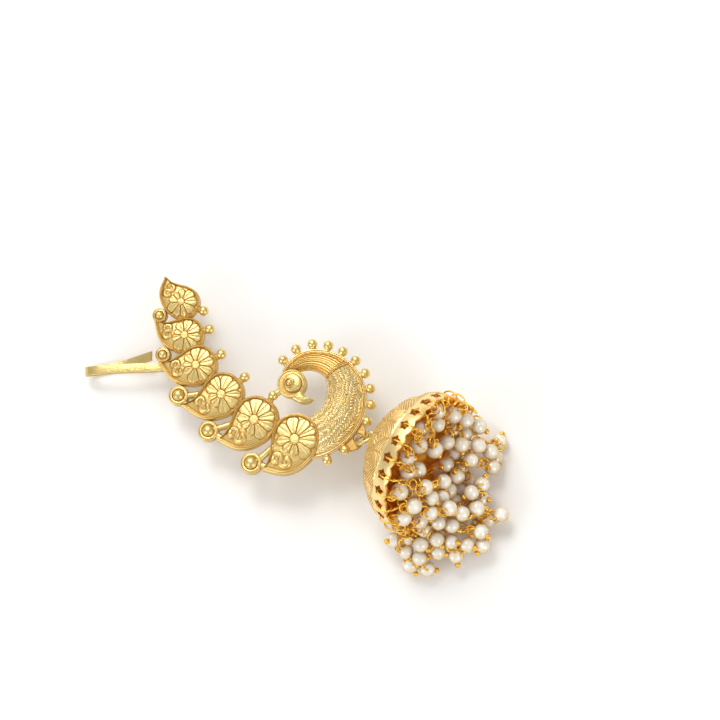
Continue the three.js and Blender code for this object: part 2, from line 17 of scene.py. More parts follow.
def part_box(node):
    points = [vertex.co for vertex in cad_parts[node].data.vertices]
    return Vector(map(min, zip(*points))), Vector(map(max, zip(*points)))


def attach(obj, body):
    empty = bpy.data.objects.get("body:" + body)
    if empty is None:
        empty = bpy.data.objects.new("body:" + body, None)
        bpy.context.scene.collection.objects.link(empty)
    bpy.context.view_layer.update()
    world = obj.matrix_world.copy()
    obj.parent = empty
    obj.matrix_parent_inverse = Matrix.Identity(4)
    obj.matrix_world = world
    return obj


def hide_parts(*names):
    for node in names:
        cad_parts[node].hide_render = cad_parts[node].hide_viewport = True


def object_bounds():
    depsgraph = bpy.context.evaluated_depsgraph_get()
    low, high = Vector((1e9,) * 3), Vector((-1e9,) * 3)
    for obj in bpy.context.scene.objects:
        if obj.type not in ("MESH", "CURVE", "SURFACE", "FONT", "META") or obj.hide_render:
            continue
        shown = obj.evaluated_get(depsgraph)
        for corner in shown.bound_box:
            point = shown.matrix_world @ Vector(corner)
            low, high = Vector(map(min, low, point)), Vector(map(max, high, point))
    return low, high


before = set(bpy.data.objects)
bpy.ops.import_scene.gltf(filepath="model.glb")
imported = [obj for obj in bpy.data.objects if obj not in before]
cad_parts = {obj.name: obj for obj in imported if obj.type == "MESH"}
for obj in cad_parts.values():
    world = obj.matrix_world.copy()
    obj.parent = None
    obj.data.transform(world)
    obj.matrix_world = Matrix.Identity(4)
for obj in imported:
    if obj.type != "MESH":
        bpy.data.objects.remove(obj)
solid_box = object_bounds()
print("solid model box, mm:", [[round(c * 1000, 2) for c in corner] for corner in solid_box])


def new_object(name, data):
    """An object in the scene, at the origin."""
    made = bpy.data.objects.new(name, data)
    bpy.context.scene.collection.objects.link(made)
    return made

# %% [markdown]
# The ear post is the one part that is square to everything else: it stands upright under the
# middle of the front. Its foot is therefore the origin of every table in this lesson, and two
# frames are built on it. The front is tipped a few degrees about its own Y axis, and the bell's
# mouth has its own frame: x to the side, y up, z out along the bell's axis.

# %% Frames that the tables are written in
MM = .001
FRONT_TILT = math.radians(-4.5)
POST_LENGTH = 9.6
post_low, post_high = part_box("ear_post")
POST_FOOT = Vector(((post_low.x + post_high.x) / 2, (post_low.y + post_high.y) / 2, post_low.z))
WORLD = Matrix.Translation(POST_FOOT) @ Matrix.Scale(MM, 4)
FRONT = WORLD @ Matrix.Translation((0, 0, POST_LENGTH)) @ Matrix.Rotation(FRONT_TILT, 4, "Y")
MOUTH = Vector((20.7, .1, 15.61))
MOUTH_AXIS = Vector((.971, -.068, .231)).normalized()
SIDE = Vector((0, 0, 1)).cross(MOUTH_AXIS).normalized()
UP = MOUTH_AXIS.cross(SIDE)
MOUTH_FRAME = Matrix((SIDE, UP, MOUTH_AXIS)).transposed().to_4x4()
MOUTH_FRAME.translation = MOUTH
BELL = WORLD @ MOUTH_FRAME
print("post foot, mm:", [round(c * 1000, 2) for c in POST_FOOT])

# %% [markdown]
# The camera looks almost straight down on the cuff, from a little to the right and below. A
# long lens from far away keeps the small beads at the edge as round as those in the middle.

# %% Camera
CAMERA_RIGHT = Vector((.9048, .4039, -.1351))
CAMERA_UP = Vector((-.3796, .9086, .1741))
CAMERA_BACK = Vector((.193, -.1062, .9754))
VIEW_WIDTH = .15
CAMERA_DISTANCE = 2.5
SENSOR = 36
AIM_RIGHT, AIM_UP = .004167, .014583
aim = WORLD @ Vector((0, 0, POST_LENGTH)) + CAMERA_RIGHT * AIM_RIGHT + CAMERA_UP * AIM_UP
camera = new_object("camera", bpy.data.cameras.new("camera"))
camera.data.sensor_width = SENSOR
camera.data.lens = SENSOR * CAMERA_DISTANCE / VIEW_WIDTH
camera.data.clip_start, camera.data.clip_end = .1, 10
turn = Matrix((CAMERA_RIGHT, CAMERA_UP, CAMERA_BACK)).transposed().to_4x4()
camera.matrix_world = Matrix.Translation(aim + CAMERA_BACK * CAMERA_DISTANCE) @ turn
bpy.context.scene.camera = camera
print("camera lens, mm:", round(camera.data.lens))

# %% [markdown]
# Shaders and Geometry Nodes are both trees of nodes, so one small class builds them. In one call
# it adds a node, sets it up and links its sockets.

# %% Node trees
class Tree:
    """A node tree under construction, for a material or for Geometry Nodes."""

    def __init__(self, node_tree):
        self.nodes, self.links = node_tree.nodes, node_tree.links

    def feed(self, socket, value):
        value = getattr(value, "socket", value)
        if isinstance(value, bpy.types.NodeSocket):
            self.links.new(value, socket)
        else:
            socket.default_value = value

    def add(self, kind, inputs=None, **settings):
        """A node, with the values or links of its sockets, and its settings. Gives its outputs."""
        node = self.nodes.new(kind)
        for name, value in settings.items():
            setattr(node, name, value)
        for name, value in (inputs or {}).items():
            self.feed(node.inputs[name], value)
        return node.outputs

    def maths(self, operation, *values):
        return Sum(self, self.add("ShaderNodeMath", dict(enumerate(values)), operation=operation)[0])

    def value(self, socket):
        return Sum(self, socket)

    def attribute(self, name, output="Fac"):
        """An attribute stored on the mesh, as a material reads it."""
        return self.value(self.add("ShaderNodeAttribute", attribute_name=name)[output])

    def split(self, vector):
        """The x, y and z of a vector."""
        return [self.value(part) for part in self.add("ShaderNodeSeparateXYZ", {0: vector})]

    def joined(self, x=0.0, y=0.0, z=0.0):
        """A vector made of x, y and z."""
        return self.add("ShaderNodeCombineXYZ", {0: x, 1: y, 2: z})[0]

# %% [markdown]
# Both kinds of tree need sums. Writing them as Python expressions is easier to read than wiring
# Math nodes, so a value socket is wrapped in a class whose operators add the nodes, also where
# the number comes first, as in 1 - mask. "least" and "most" keep a value at or below, or at or
# above, another one.

# %% Sums on sockets
def math_method(operation, swapped=False):
    """A method of Sum that adds a Math node. Swapped, the value it belongs to comes last."""
    def method(self, *others):
        values = (*others, self) if swapped else (self, *others)
        return self.tree.maths(operation, *values)
    return method


def both_ways(operation):
    return math_method(operation), math_method(operation, swapped=True)


class Sum:
    """A value socket. Operators and methods on it add Math nodes to its tree."""

    def __init__(self, tree, socket):
        self.tree, self.socket = tree, socket

    __add__, __radd__ = both_ways("ADD")
    __sub__, __rsub__ = both_ways("SUBTRACT")
    __mul__, __rmul__ = both_ways("MULTIPLY")
    __truediv__, __rtruediv__ = both_ways("DIVIDE")
    __pow__, __rpow__ = both_ways("POWER")
    sine, cosine, size = math_method("SINE"), math_method("COSINE"), math_method("ABSOLUTE")
    least, most = math_method("MINIMUM"), math_method("MAXIMUM")
    fraction, whole = math_method("FRACT"), math_method("FLOOR")

    def rise(self, low, high):
        """0 below low, 1 above high, smooth between."""
        inputs = {"Value": self, "From Min": low, "From Max": high}
        step = self.tree.add("ShaderNodeMapRange", inputs, interpolation_type="SMOOTHSTEP")
        return self.tree.value(step[0])


print("operators of a sum:", [name for name in vars(Sum) if name.startswith("__r")])

# %% [markdown]
# The floor is plain and pale. Gold is only as good as what it reflects, so the light is one
# broad soft lamp high on the left, a small one above that puts a spark on every bead, two weak
# ones that fill the shadows, and a world that is darker at the horizon than overhead.

# %% Floor, lamps and world
FLOOR_HALF = 1.5
CORNERS = [(-1, -1), (1, -1), (1, 1), (-1, 1)]
floor_mesh = bpy.data.meshes.new("floor")
floor_mesh.from_pydata([(x * FLOOR_HALF, y * FLOOR_HALF, 0) for x, y in CORNERS], [], [(0, 1, 2, 3)])
floor = new_object("floor", floor_mesh)

LAMPS = [
    # name, place, size, watts, colour
    ("overhead_lamp", (-.8, .75, .95), 1.2, 9.5, (1, .985, .96)),
    ("window_lamp", (-.3, .42, .95), .34, 2.2, (1, .99, .97)),
    ("side_lamp", (.9, -.3, .5), .5, 3, (1, .97, .93)),
    ("low_lamp", (-.5, -.8, .6), .6, 3, (1, 1, 1)),
]
SKY_TOP, SKY_SIDE = (.6, .6, .59, 1), (.44, .43, .41, 1)
for name, place, size, watts, tint in LAMPS:
    lamp = new_object(name, bpy.data.lights.new(name, "AREA"))
    lamp.data.shape, lamp.data.size = "DISK", size
    lamp.data.energy, lamp.data.color = watts, tint
    lamp.location = place
    lamp.rotation_mode = "QUATERNION"
    lamp.rotation_quaternion = Vector(place).to_track_quat("Z", "Y")
world = bpy.data.worlds.new("studio")
world.use_nodes = True
sky = Tree(world.node_tree)
facing_up = sky.split(sky.add("ShaderNodeTexCoord")["Generated"])[2]
climb = sky.add("ShaderNodeMapRange", {"Value": facing_up, "From Min": .05, "From Max": .8})[0]
sky_colour = sky.add("ShaderNodeMix", {0: climb, 6: SKY_SIDE, 7: SKY_TOP}, data_type="RGBA")[2]
sky.feed(sky.nodes["Background"].inputs["Color"], sky_colour)
bpy.context.scene.world = world
bpy.context.scene.view_settings.view_transform = "Standard"
print("lamps:", len(LAMPS))

# %% [markdown]
# A finish is a small tree of shader nodes. A few helpers, which all finishes share, open it, read
# a noise, mix two colours, add a bump and close it with a Principled shader.

# %% Shader helpers
def colour(red, green, blue):
    """A colour given as 0-255 display values, turned into the linear light that shaders use."""
    shown = [value / 255 for value in (red, green, blue)]
    return (*[s / 12.92 if s < .04045 else ((s + .055) / 1.055) ** 2.4 for s in shown], 1)


def new_finish(name):
    material = bpy.data.materials.new(name)
    material.use_nodes = True
    material.node_tree.nodes.clear()
    tree = Tree(material.node_tree)
    place = tree.add("ShaderNodeTexCoord")["Object"]
    return material, tree, place


def mixed(tree, factor, first, second):
    """Two colours mixed. Index 6, 7 and 2 are the colour sockets of a Mix node."""
    return tree.add("ShaderNodeMix", {0: factor, 6: first, 7: second}, data_type="RGBA")[2]


def noise(tree, place, scale, detail=3):
    inputs = {"Vector": place, "Scale": scale, "Detail": detail}
    return tree.value(tree.add("ShaderNodeTexNoise", inputs)[0])


def finish(material, tree, **inputs):
    """Closes a material with a Principled shader. Base_Color stands for its input Base Color."""
    named_inputs = {key.replace("_", " "): value for key, value in inputs.items()}
    shader = tree.add("ShaderNodeBsdfPrincipled", named_inputs)[0]
    tree.add("ShaderNodeOutputMaterial", {"Surface": shader})
    return material


def bumped(tree, height, depth):
    """A Bump node. Depth is the real height, in metres, that 1 stands for."""
    return tree.add("ShaderNodeBump", {"Strength": 1, "Distance": depth, "Height": height})[0]


print("mid grey in linear light:", [round(value, 3) for value in colour(128, 128, 128)])

# %% [markdown]
# The gold of the front is cast and then matted, so it is soft and slightly uneven. Open metal keeps the
# bright face colour, and the grooves are painted brown: painted shade, and the light that gold reflects onto
# gold down there. A shader can't know where the grooves are, so each cast piece carries a "groove" attribute,
# written when its mesh is made, that is 0 on open metal and 1 at the bottom of a groove, where the painted
# shade is deepest.

# %% Golds
CLOUD_SCALE, GRAIN_SCALE = 260, 2100


def gold(name, face, groove, shine, grain_depth, grooves=True):
    """A gold with slow clouds and a fine grain and, on castings, painted shade in the grooves."""
    material, tree, place = new_finish(name)
    cloud = noise(tree, place, CLOUD_SCALE)
    grain = noise(tree, place, GRAIN_SCALE, 2)
    hollow = cloud.rise(.6, .8) * .3 + grain.rise(.5, .75) * .3
    if grooves:
        # painted groove shade, laid over the mottling of clouds and grain
        hollow = (tree.attribute("groove") + hollow * .5).least(1)
    tint = mixed(tree, hollow, face, groove)
    rough = shine + (cloud - .5) * .12 + hollow * .18
    return finish(material, tree, Base_Color=tint, Metallic=1.0, Roughness=rough,
                  Normal=bumped(tree, grain, grain_depth))


CAST_GOLD = gold("cast_gold", colour(226, 202, 134), colour(192, 138, 58), .37, .00008)
# the peacock's body gets a paler, brighter copy of the cast gold: painted light, making up for the shade its
# deep stitches throw
FEATHER_GOLD = gold("feather_gold", colour(254, 240, 186), colour(190, 132, 48), .29, .00005)
BRIGHT_GOLD = gold("bright_gold", colour(242, 214, 140), colour(206, 152, 70), .28, .00001, False)
WIRE_GOLD = gold("wire_gold", colour(246, 196, 82), colour(214, 146, 36), .3, .00001, False)
print("finishes:", [material.name for material in bpy.data.materials])

# %% [markdown]
# A pearl is milky, lets a little light through, and has a clear skin with a soft shine. Light and reflection
# are painted into its colour: white where it faces up, as if lit from above, and honey-coloured towards its
# underside, a painted reflection of the gold below. The "lift" attribute, stored on every ball, says which
# way a point faces.
# The floor is paper with hardly any grain. The solids of the plain model are given the same
# finishes, so that nothing under the looks is bare.

# %% Pearls, floor and solids
PEARL_CLOUDS, PAPER_CLOUDS = 700, 40


def pearl():
    material, tree, place = new_finish("pearl")
    cloud = noise(tree, place, PEARL_CLOUDS)
    milk = mixed(tree, cloud.rise(.3, .7), colour(236, 229, 212), colour(253, 251, 246))
    # painted light and reflection: white where the skin faces up, honey where the gold below shines in
    tint = mixed(tree, tree.attribute("lift").rise(0, 1), colour(206, 168, 88), milk)
    return finish(material, tree, Base_Color=tint, Roughness=.25 + cloud * .15,
                  Coat_Weight=1.0, Coat_Roughness=.12, Coat_IOR=1.8,
                  Subsurface_Weight=.3, Subsurface_Scale=.0012, Subsurface_Radius=(1, .94, .66),
                  Normal=bumped(tree, cloud, .00003))


PEARL = pearl()
floor_finish, floor_tree, floor_place = new_finish("floor_paper")
paper_cloud = noise(floor_tree, floor_place, PAPER_CLOUDS)
paper = mixed(floor_tree, paper_cloud, (.93, .93, .93, 1), (.96, .96, .96, 1))
floor.data.materials.append(finish(floor_finish, floor_tree, Base_Color=paper, Roughness=.9))
for name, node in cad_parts.items():
    node.data.materials.clear()
    node.data.materials.append(PEARL if name.startswith("pearl") else CAST_GOLD)
print("solids with a finish:", len(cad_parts))

# %% [markdown]
# Every form below is drawn from a few points or rows of numbers. A smooth path runs through
# them, and two small functions, a ramp and a mound, give the relief its slopes.

# %% Curves and slopes
CURVE_STEPS = 40


def ramp(value, start, width):
    """0 up to a start, 1 past a width beyond it, and straight between."""
    return np.clip((value - start) / width, 0, 1)


def mound(value, middle, width):
    """1 in the middle, falling smoothly to 0 on both sides."""
    return np.exp(-((value - middle) / width) ** 2)


def unit(vectors):
    """The same directions, one long."""
    return vectors / np.linalg.norm(vectors, axis=-1, keepdims=True)


def polar(centre, heading, distance, height=0.0):
    """A point at a heading, in degrees, and a distance from a centre."""
    angle = math.radians(heading)
    return np.array((centre[0] + distance * math.cos(angle), centre[1] + distance * math.sin(angle), height))


def smooth_path(points, count, power=.5):
    """A Catmull-Rom curve through points, cut into evenly spaced ones."""
    points = np.asarray(points, float)
    ends = [2 * points[0] - points[1]], [2 * points[-1] - points[-2]]
    run = np.concatenate([ends[0], points, ends[1]])
    fine = []
    for p0, p1, p2, p3 in zip(run, run[1:], run[2:], run[3:]):
        pairs = ((p0, p1), (p1, p2), (p2, p3))
        d0, d1, d2 = (max(np.linalg.norm(b - a), 1e-6) ** power for a, b in pairs)
        out = d1 * ((p1 - p0) / d0 - (p2 - p0) / (d0 + d1) + (p2 - p1) / d1)
        back = d1 * ((p2 - p1) / d1 - (p3 - p1) / (d1 + d2) + (p3 - p2) / d2)
        t = np.linspace(0, 1, CURVE_STEPS, endpoint=False)[:, None]
        bend, twist = 3 * (p2 - p1) - 2 * out - back, 2 * (p1 - p2) + out + back
        fine.append(p1 + t * out + t ** 2 * bend + t ** 3 * twist)
    fine = np.concatenate([*fine, points[-1:]])
    reach = np.concatenate([[0], np.cumsum(np.linalg.norm(np.diff(fine, axis=0), axis=1))])
    stops = np.linspace(0, reach[-1], count)
    return np.stack([np.interp(stops, reach, fine[:, axis]) for axis in range(fine.shape[1])], 1)


print("a point 2 from the middle, at 90 degrees:", polar((0, 0), 90, 2).round(3).tolist())

# %% [markdown]
# Cast metal is thick and rounded, so its pieces are skins stretched over rings of points, each ring a slice
# or a contour of the piece. Every point carries its groove value, the painted shade that the finish gives it.
# The skin is merged where rings shrink to a pole, and creases sharper than 62 degrees stay sharp.

# %% Castings
CREASE = math.radians(62)
SAME_PLACE = 1e-7


class Casting:
    """The points, faces and painted groove shade of one cast piece."""

    def __init__(self):
        self.points, self.faces, self.groove = [], [], []

    def skin(self, rings, groove=0.0, shut=True):
        """A surface through rings of equally many points, shut by a flat face at each end."""
        rings = np.asarray(rings, float)
        count, around = rings.shape[:2]
        start = len(self.points)
        self.points.extend(rings.reshape(-1, 3).tolist())
        self.groove.extend(np.broadcast_to(groove, (count, around)).ravel().tolist())
        step = np.arange(around)
        after = (step + 1) % around
        for ring in range(count - 1):
            here = start + ring * around
            self.faces += zip((here + step).tolist(), (here + after).tolist(),
                              (here + around + after).tolist(), (here + around + step).tolist())
        if shut:
            last = start + (count - 1) * around
            self.faces.append(tuple(range(start + around - 1, start - 1, -1)))
            self.faces.append(tuple(range(last, last + around)))

    def turned(self, profile, centre, around, lift=0.0):
        """A shape turned round an upright axis, from rows of radius, height and, if any, painted groove
        shade.
        """
        angles = np.linspace(0, 2 * math.pi, around, endpoint=False)
        rings = [[(centre[0] + r * math.cos(a), centre[1] + r * math.sin(a), lift + h) for a in angles]
                 for r, h, *_ in profile]
        groove = [row[2] if len(row) > 2 else 0 for row in profile]
        self.skin(rings, np.asarray(groove, float)[:, None], shut=False)

    def piece(self, name, frame_matrix, material):
        """The casting as an object, with one finish."""
        mesh = bpy.data.meshes.new(name)
        mesh.from_pydata(self.points, [], self.faces)
        mesh.attributes.new("groove", "FLOAT", "POINT").data.foreach_set("value", self.groove)
        mesh.transform(frame_matrix)
        shape = bmesh.new()
        shape.from_mesh(mesh)
        bmesh.ops.remove_doubles(shape, verts=shape.verts, dist=SAME_PLACE)
        shape.to_mesh(mesh)
        shape.free()
        mesh.shade_smooth()
        mesh.set_sharp_from_angle(angle=CREASE)
        mesh.materials.append(material)
        return new_object(name, mesh)

# %% [markdown]
# A finished piece is put on the cuff's root body, and the solids that it stands for are hidden. Nothing of
# the looks may reach past the solid model's box, so small things near its faces are moved inwards.

# %% Placing pieces
def inside_box(matrix, point, margin):
    """A point of a frame, moved so that what is round it stays inside the solid model's box."""
    place, room = matrix @ Vector(point), margin * MM
    kept = [min(max(c, low + room), high - room) for c, low, high in zip(place, *solid_box)]
    return matrix.inverted() @ Vector(kept)


def fit(piece, slot, *nodes):
    """Puts a finished piece on the cuff's root body and hides the solids it stands for. The material slot is
    not used.
    """
    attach(piece, "root")
    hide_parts(*nodes)
    print(piece.name, "faces:", len(piece.data.polygons))

# %% [markdown]
# Beads, wires and wire loops repeat by the dozen, which is work for Geometry Nodes. Three small
# trees do it. One sets a ball on every point and notes which way its skin faces. One turns every
# chain of edges into round wire. One sets a ready-made wire loop on every point, turned as the
# point says.

# %% Opening, closing and running a tree
def new_growth(name, sizes):
    """An empty tree with a geometry, a finish and named sizes. Gives the group, tree and inputs."""
    group = bpy.data.node_groups.new(name, "GeometryNodeTree")
    sockets = group.interface
    sockets.new_socket("Geometry", in_out="OUTPUT", socket_type="NodeSocketGeometry")
    sockets.new_socket("Geometry", in_out="INPUT", socket_type="NodeSocketGeometry")
    sockets.new_socket("Finish", in_out="INPUT", socket_type="NodeSocketMaterial")
    for label, value in sizes.items():
        kind = "NodeSocketInt" if isinstance(value, int) else "NodeSocketFloat"
        sockets.new_socket(label, in_out="INPUT", socket_type=kind).default_value = value
    tree = Tree(group)
    return group, tree, tree.add("NodeGroupInput")


def close_growth(tree, geometry, given):
    """Makes the copies real, shades them smooth, gives them the finish and ends the tree."""
    real = tree.add("GeometryNodeRealizeInstances", {"Geometry": geometry})[0]
    smooth = tree.add("GeometryNodeSetShadeSmooth", {"Geometry": real})[0]
    painted = tree.add("GeometryNodeSetMaterial", {"Geometry": smooth, "Material": given["Finish"]})[0]
    tree.add("NodeGroupOutput", {"Geometry": painted})


def named(tree, name, kind="FLOAT"):
    """An attribute of the points that a tree is given."""
    return tree.add("GeometryNodeInputNamedAttribute", {"Name": name}, data_type=kind)["Attribute"]


def stored(tree, geometry, name, value, kind="FLOAT"):
    """The geometry with a value stored on every point, under a name."""
    inputs = {"Geometry": geometry, "Name": name, "Value": value}
    return tree.add("GeometryNodeStoreNamedAttribute", inputs, data_type=kind, domain="POINT")[0]


def copies(tree, points, shape, **inputs):
    """A copy of a shape on every point."""
    inputs = {"Points": points, "Instance": shape, **inputs}
    return tree.add("GeometryNodeInstanceOnPoints", inputs)[0]


def grow(name, mesh, group, material, **sizes):
    """Runs a tree on a mesh and keeps the result as a plain mesh."""
    made = new_object(name, mesh)
    modifier = made.modifiers.new("growth", "NODES")
    modifier.node_group = group
    sockets = {item.name: item.identifier for item in group.interface.items_tree if item.in_out == "INPUT"}
    modifier[sockets["Finish"]] = material
    for label, value in sizes.items():
        modifier[sockets[label]] = value
    result = made.evaluated_get(bpy.context.evaluated_depsgraph_get())
    plain = bpy.data.meshes.new_from_object(result)
    made.modifiers.clear()
    made.data = plain
    return made

# %% [markdown]
# A ball is set on every point, as large as the point says. Where a size asks for it, noise makes its skin a
# little uneven. How far the skin faces up is stored as "lift", for the light and reflection painted on the
# pearls.

# %% Tree of the beads
def bead_growth():
    group, tree, given = new_growth("beads", {"Roundness": 3, "Wobble": .0, "Wobble scale": 600.0})
    ball = tree.add("GeometryNodeMeshIcoSphere",
                    {"Radius": 1.0, "Subdivisions": given["Roundness"]})["Mesh"]
    points = tree.add("GeometryNodeMeshToPoints", {"Mesh": given["Geometry"]})[0]
    placed = copies(tree, points, ball, Scale=named(tree, "size"))
    real = tree.add("GeometryNodeRealizeInstances", {"Geometry": placed})[0]
    place = tree.add("GeometryNodeInputPosition")[0]
    uneven = noise(tree, place, given["Wobble scale"], 1) - .5
    normal = tree.add("GeometryNodeInputNormal")[0]
    push = tree.add("ShaderNodeVectorMath",
                    {0: normal, "Scale": uneven * given["Wobble"]}, operation="SCALE")[0]
    moved = tree.add("GeometryNodeSetPosition", {"Geometry": real, "Offset": push})[0]
    close_growth(tree, stored(tree, moved, "lift", tree.split(normal)[2]), given)
    return group


BEADS = bead_growth()
print("tree:", BEADS.name)

# %% [markdown]
# Wire is a circle carried along every chain of edges. A wire loop is a circle carried round
# another one; it is made once and copied to every point.

# %% Trees of the wires and loops
def circle(tree, steps, radius):
    return tree.add("GeometryNodeCurvePrimitiveCircle", {"Resolution": steps, "Radius": radius})["Curve"]


def wire_growth():
    group, tree, given = new_growth("wires", {"Radius": .0002, "Sides": 8})
    run = tree.add("GeometryNodeMeshToCurve", {"Mesh": given["Geometry"]})[0]
    section = circle(tree, given["Sides"], given["Radius"])
    tube = tree.add("GeometryNodeCurveToMesh",
                    {"Curve": run, "Profile Curve": section, "Fill Caps": True})[0]
    close_growth(tree, tube, given)
    return group


def loop_growth():
    group, tree, given = new_growth("loops", {"Wire": .16, "Steps": 18, "Sides": 5})
    ring, section = circle(tree, given["Steps"], 1.0), circle(tree, given["Sides"], given["Wire"])
    loop = tree.add("GeometryNodeCurveToMesh", {"Curve": ring, "Profile Curve": section})[0]
    points = tree.add("GeometryNodeMeshToPoints", {"Mesh": given["Geometry"]})[0]
    turned = named(tree, "turn", "FLOAT_VECTOR")
    close_growth(tree, copies(tree, points, loop, Rotation=turned, Scale=named(tree, "size")), given)
    return group


WIRES, LOOPS = wire_growth(), loop_growth()
print("trees:", WIRES.name, LOOPS.name)

# %% [markdown]
# The trees are fed with bare points, or with chains of edges, that are listed in millimetres.

# %% Points and chains for the trees
def bead_points(rows, matrix, turns=None):
    """A mesh of bare points for the trees, from rows of x, y, z and radius in millimetres."""
    rows = np.asarray(rows, float)
    mesh = bpy.data.meshes.new("points")
    mesh.from_pydata(rows[:, :3].tolist(), [], [])
    mesh.transform(matrix)
    mesh.attributes.new("size", "FLOAT", "POINT").data.foreach_set("value", (rows[:, 3] * MM).tolist())
    if turns is not None:
        flat = np.asarray(turns, float).ravel().tolist()
        mesh.attributes.new("turn", "FLOAT_VECTOR", "POINT").data.foreach_set("vector", flat)
    return mesh


def beads(name, rows, matrix, material, **sizes):
    """A piece with a ball on every row."""
    return grow(name, bead_points(rows, matrix), BEADS, material, **sizes)


def wires(name, paths, matrix, material, radius, sides, closed=True):
    """A piece of round wire along every path. The radius is in millimetres."""
    points, edges = [], []
    for path in paths:
        start, count = len(points), len(path)
        points += [tuple(p) for p in path]
        edges += [(start + i, start + (i + 1) % count) for i in range(count if closed else count - 1)]
    mesh = bpy.data.meshes.new("paths")
    mesh.from_pydata(points, edges, [])
    mesh.transform(matrix)
    return grow(name, mesh, WIRES, material, Radius=radius * MM, Sides=sides)

# %% [markdown]
# Six mango-shaped plaques, each laid over the tail of the one above it, make the arc of the
# cuff. A plaque has a bevelled wall, a wire just inside its rim, and a domed field with petals
# round a small boss. The petals could be modelled one by one, but as relief on rings of points
# they stay one casting: the height and the groove of each point are worked out from where it
# lies between the boss and the rim.

# %% Outlines of the plaques
PLAQUES = [
    # u, v, radius of the belly, heading of the tail, tail in radii, heading of the bead
    (-42.45, 12.15, 3.85, 146, 1.78, 1),
    (-38.8, 5.95, 4.1, 176, 1.86, 37),
    (-33.9, 1.0, 4.5, 197, 1.82, 47),
    (-26.25, -2.65, 4.85, 217, 1.86, 61),
    (-17.5, -4.95, 5.2, 231, 1.74, 77),
    (-7.75, -5.5, 5.55, 246, 1.72, None),
]
MANGO = [(1.3, -.13), (.92, -.42), (.5, -.77), (0, -.98), (-.52, -.86), (-.89, -.46), (-1, .03),
         (-.82, .53), (-.4, .87), (.15, 1.0), (.75, .95), (1.25, .68)]
OUTLINE_POINTS = 264


def mango(tail):
    """The outline of a plaque in radii of its belly, anticlockwise, with the tail towards +x."""
    return smooth_path([(tail, 0), *MANGO, (tail, 0)], OUTLINE_POINTS + 1)[:0:-1]


def turned_flat(points, heading):
    angle = math.radians(heading)
    cosine, sine = math.cos(angle), math.sin(angle)
    return np.stack([points[..., 0] * cosine - points[..., 1] * sine,
                     points[..., 0] * sine + points[..., 1] * cosine], -1)


def depth_inside(plaque, u, v):
    """Where a point lies between a plaque's heart, 0, and its outline, 1."""
    heart_u, heart_v, radius, heading, tail, _ = plaque
    local = turned_flat(np.stack([u - heart_u, v - heart_v], -1), -heading) / radius
    outline = mango(tail)
    angles = np.arctan2(outline[:, 1], outline[:, 0])
    order = np.argsort(angles)
    edge = np.interp(np.arctan2(local[..., 1], local[..., 0]), angles[order],
                     np.hypot(*outline[order].T), period=2 * math.pi)
    return np.hypot(local[..., 0], local[..., 1]) / edge


print("plaques:", len(PLAQUES), "points in an outline:", OUTLINE_POINTS)

# %% [markdown]
# The relief of a plaque is a rule over its field. Nine petals lie round a boss, each a leaf
# shape with a sunk midrib, parted by a groove wherever two of them meet. A wire scroll fills
# the tail, and three fine lines run along its lower edge. The rim is a short table of contours.

# %% Relief of the plaques
RIM = [
    # scale of the outline, height, painted groove shade
    (1, 0, .5), (1, 1.1, .45), (.994, 1.4, .3), (.984, 1.6, .1), (.97, 1.68, 0), (.956, 1.66, .15),
    (.948, 1.62, .45), (.94, 1.74, .1), (.93, 1.88, 0), (.918, 1.9, 0), (.906, 1.8, 0), (.897, 1.6, .3),
    (.889, 1.5, .6), (.88, 1.5, .2),
]
FIELD_EDGE, FIELD_STEPS = .87, 40
FIELD_LOW, FIELD_RISE = 1.34, .5
PETAL_RISE, RIB_DEPTH = .22, .1
BOSS, BOSS_RISE = .2, .34
PETALS = [
    # heading of the petal from the tail's direction, half of its width, and its reach
    (-163, .25, .93), (-121, .28, .95), (-78, .27, .93), (-38, .22, .76), (4, .19, .61),
    (45, .22, .68), (88, .28, .93), (127, .26, .95), (162, .22, .92),
]
LINES, LINE_WIDTH, LINE_DEPTH = (.84, .78, .72), .011, .1
SCROLL_LOOPS = [
    # centre, first and last heading
    ((.86, .38), 200, -70), ((.98, .05), 110, 390),
]
SCROLL_BEND, SCROLL_HALF, SCROLL_RISE = .175, .092, .34
SCROLL = np.array([polar(centre, heading, SCROLL_BEND)[:2] for centre, first, last in SCROLL_LOOPS
                   for heading in np.linspace(first, last, 13)])


def uneven_petals(dice):
    """The petals as cut by hand: no two plaques have quite the same."""
    return [(middle + dice.uniform(-4, 4), half * dice.uniform(.88, 1.08), longest * dice.uniform(.93, 1.02))
            for middle, half, longest in PETALS]


print("petals of a plaque:", len(PETALS), "contours of its rim:", len(RIM))

# %% [markdown]
# The field is worked out for all its points at once: first the petals, then the boss, the lines
# and the scroll, each laid over what came before it.

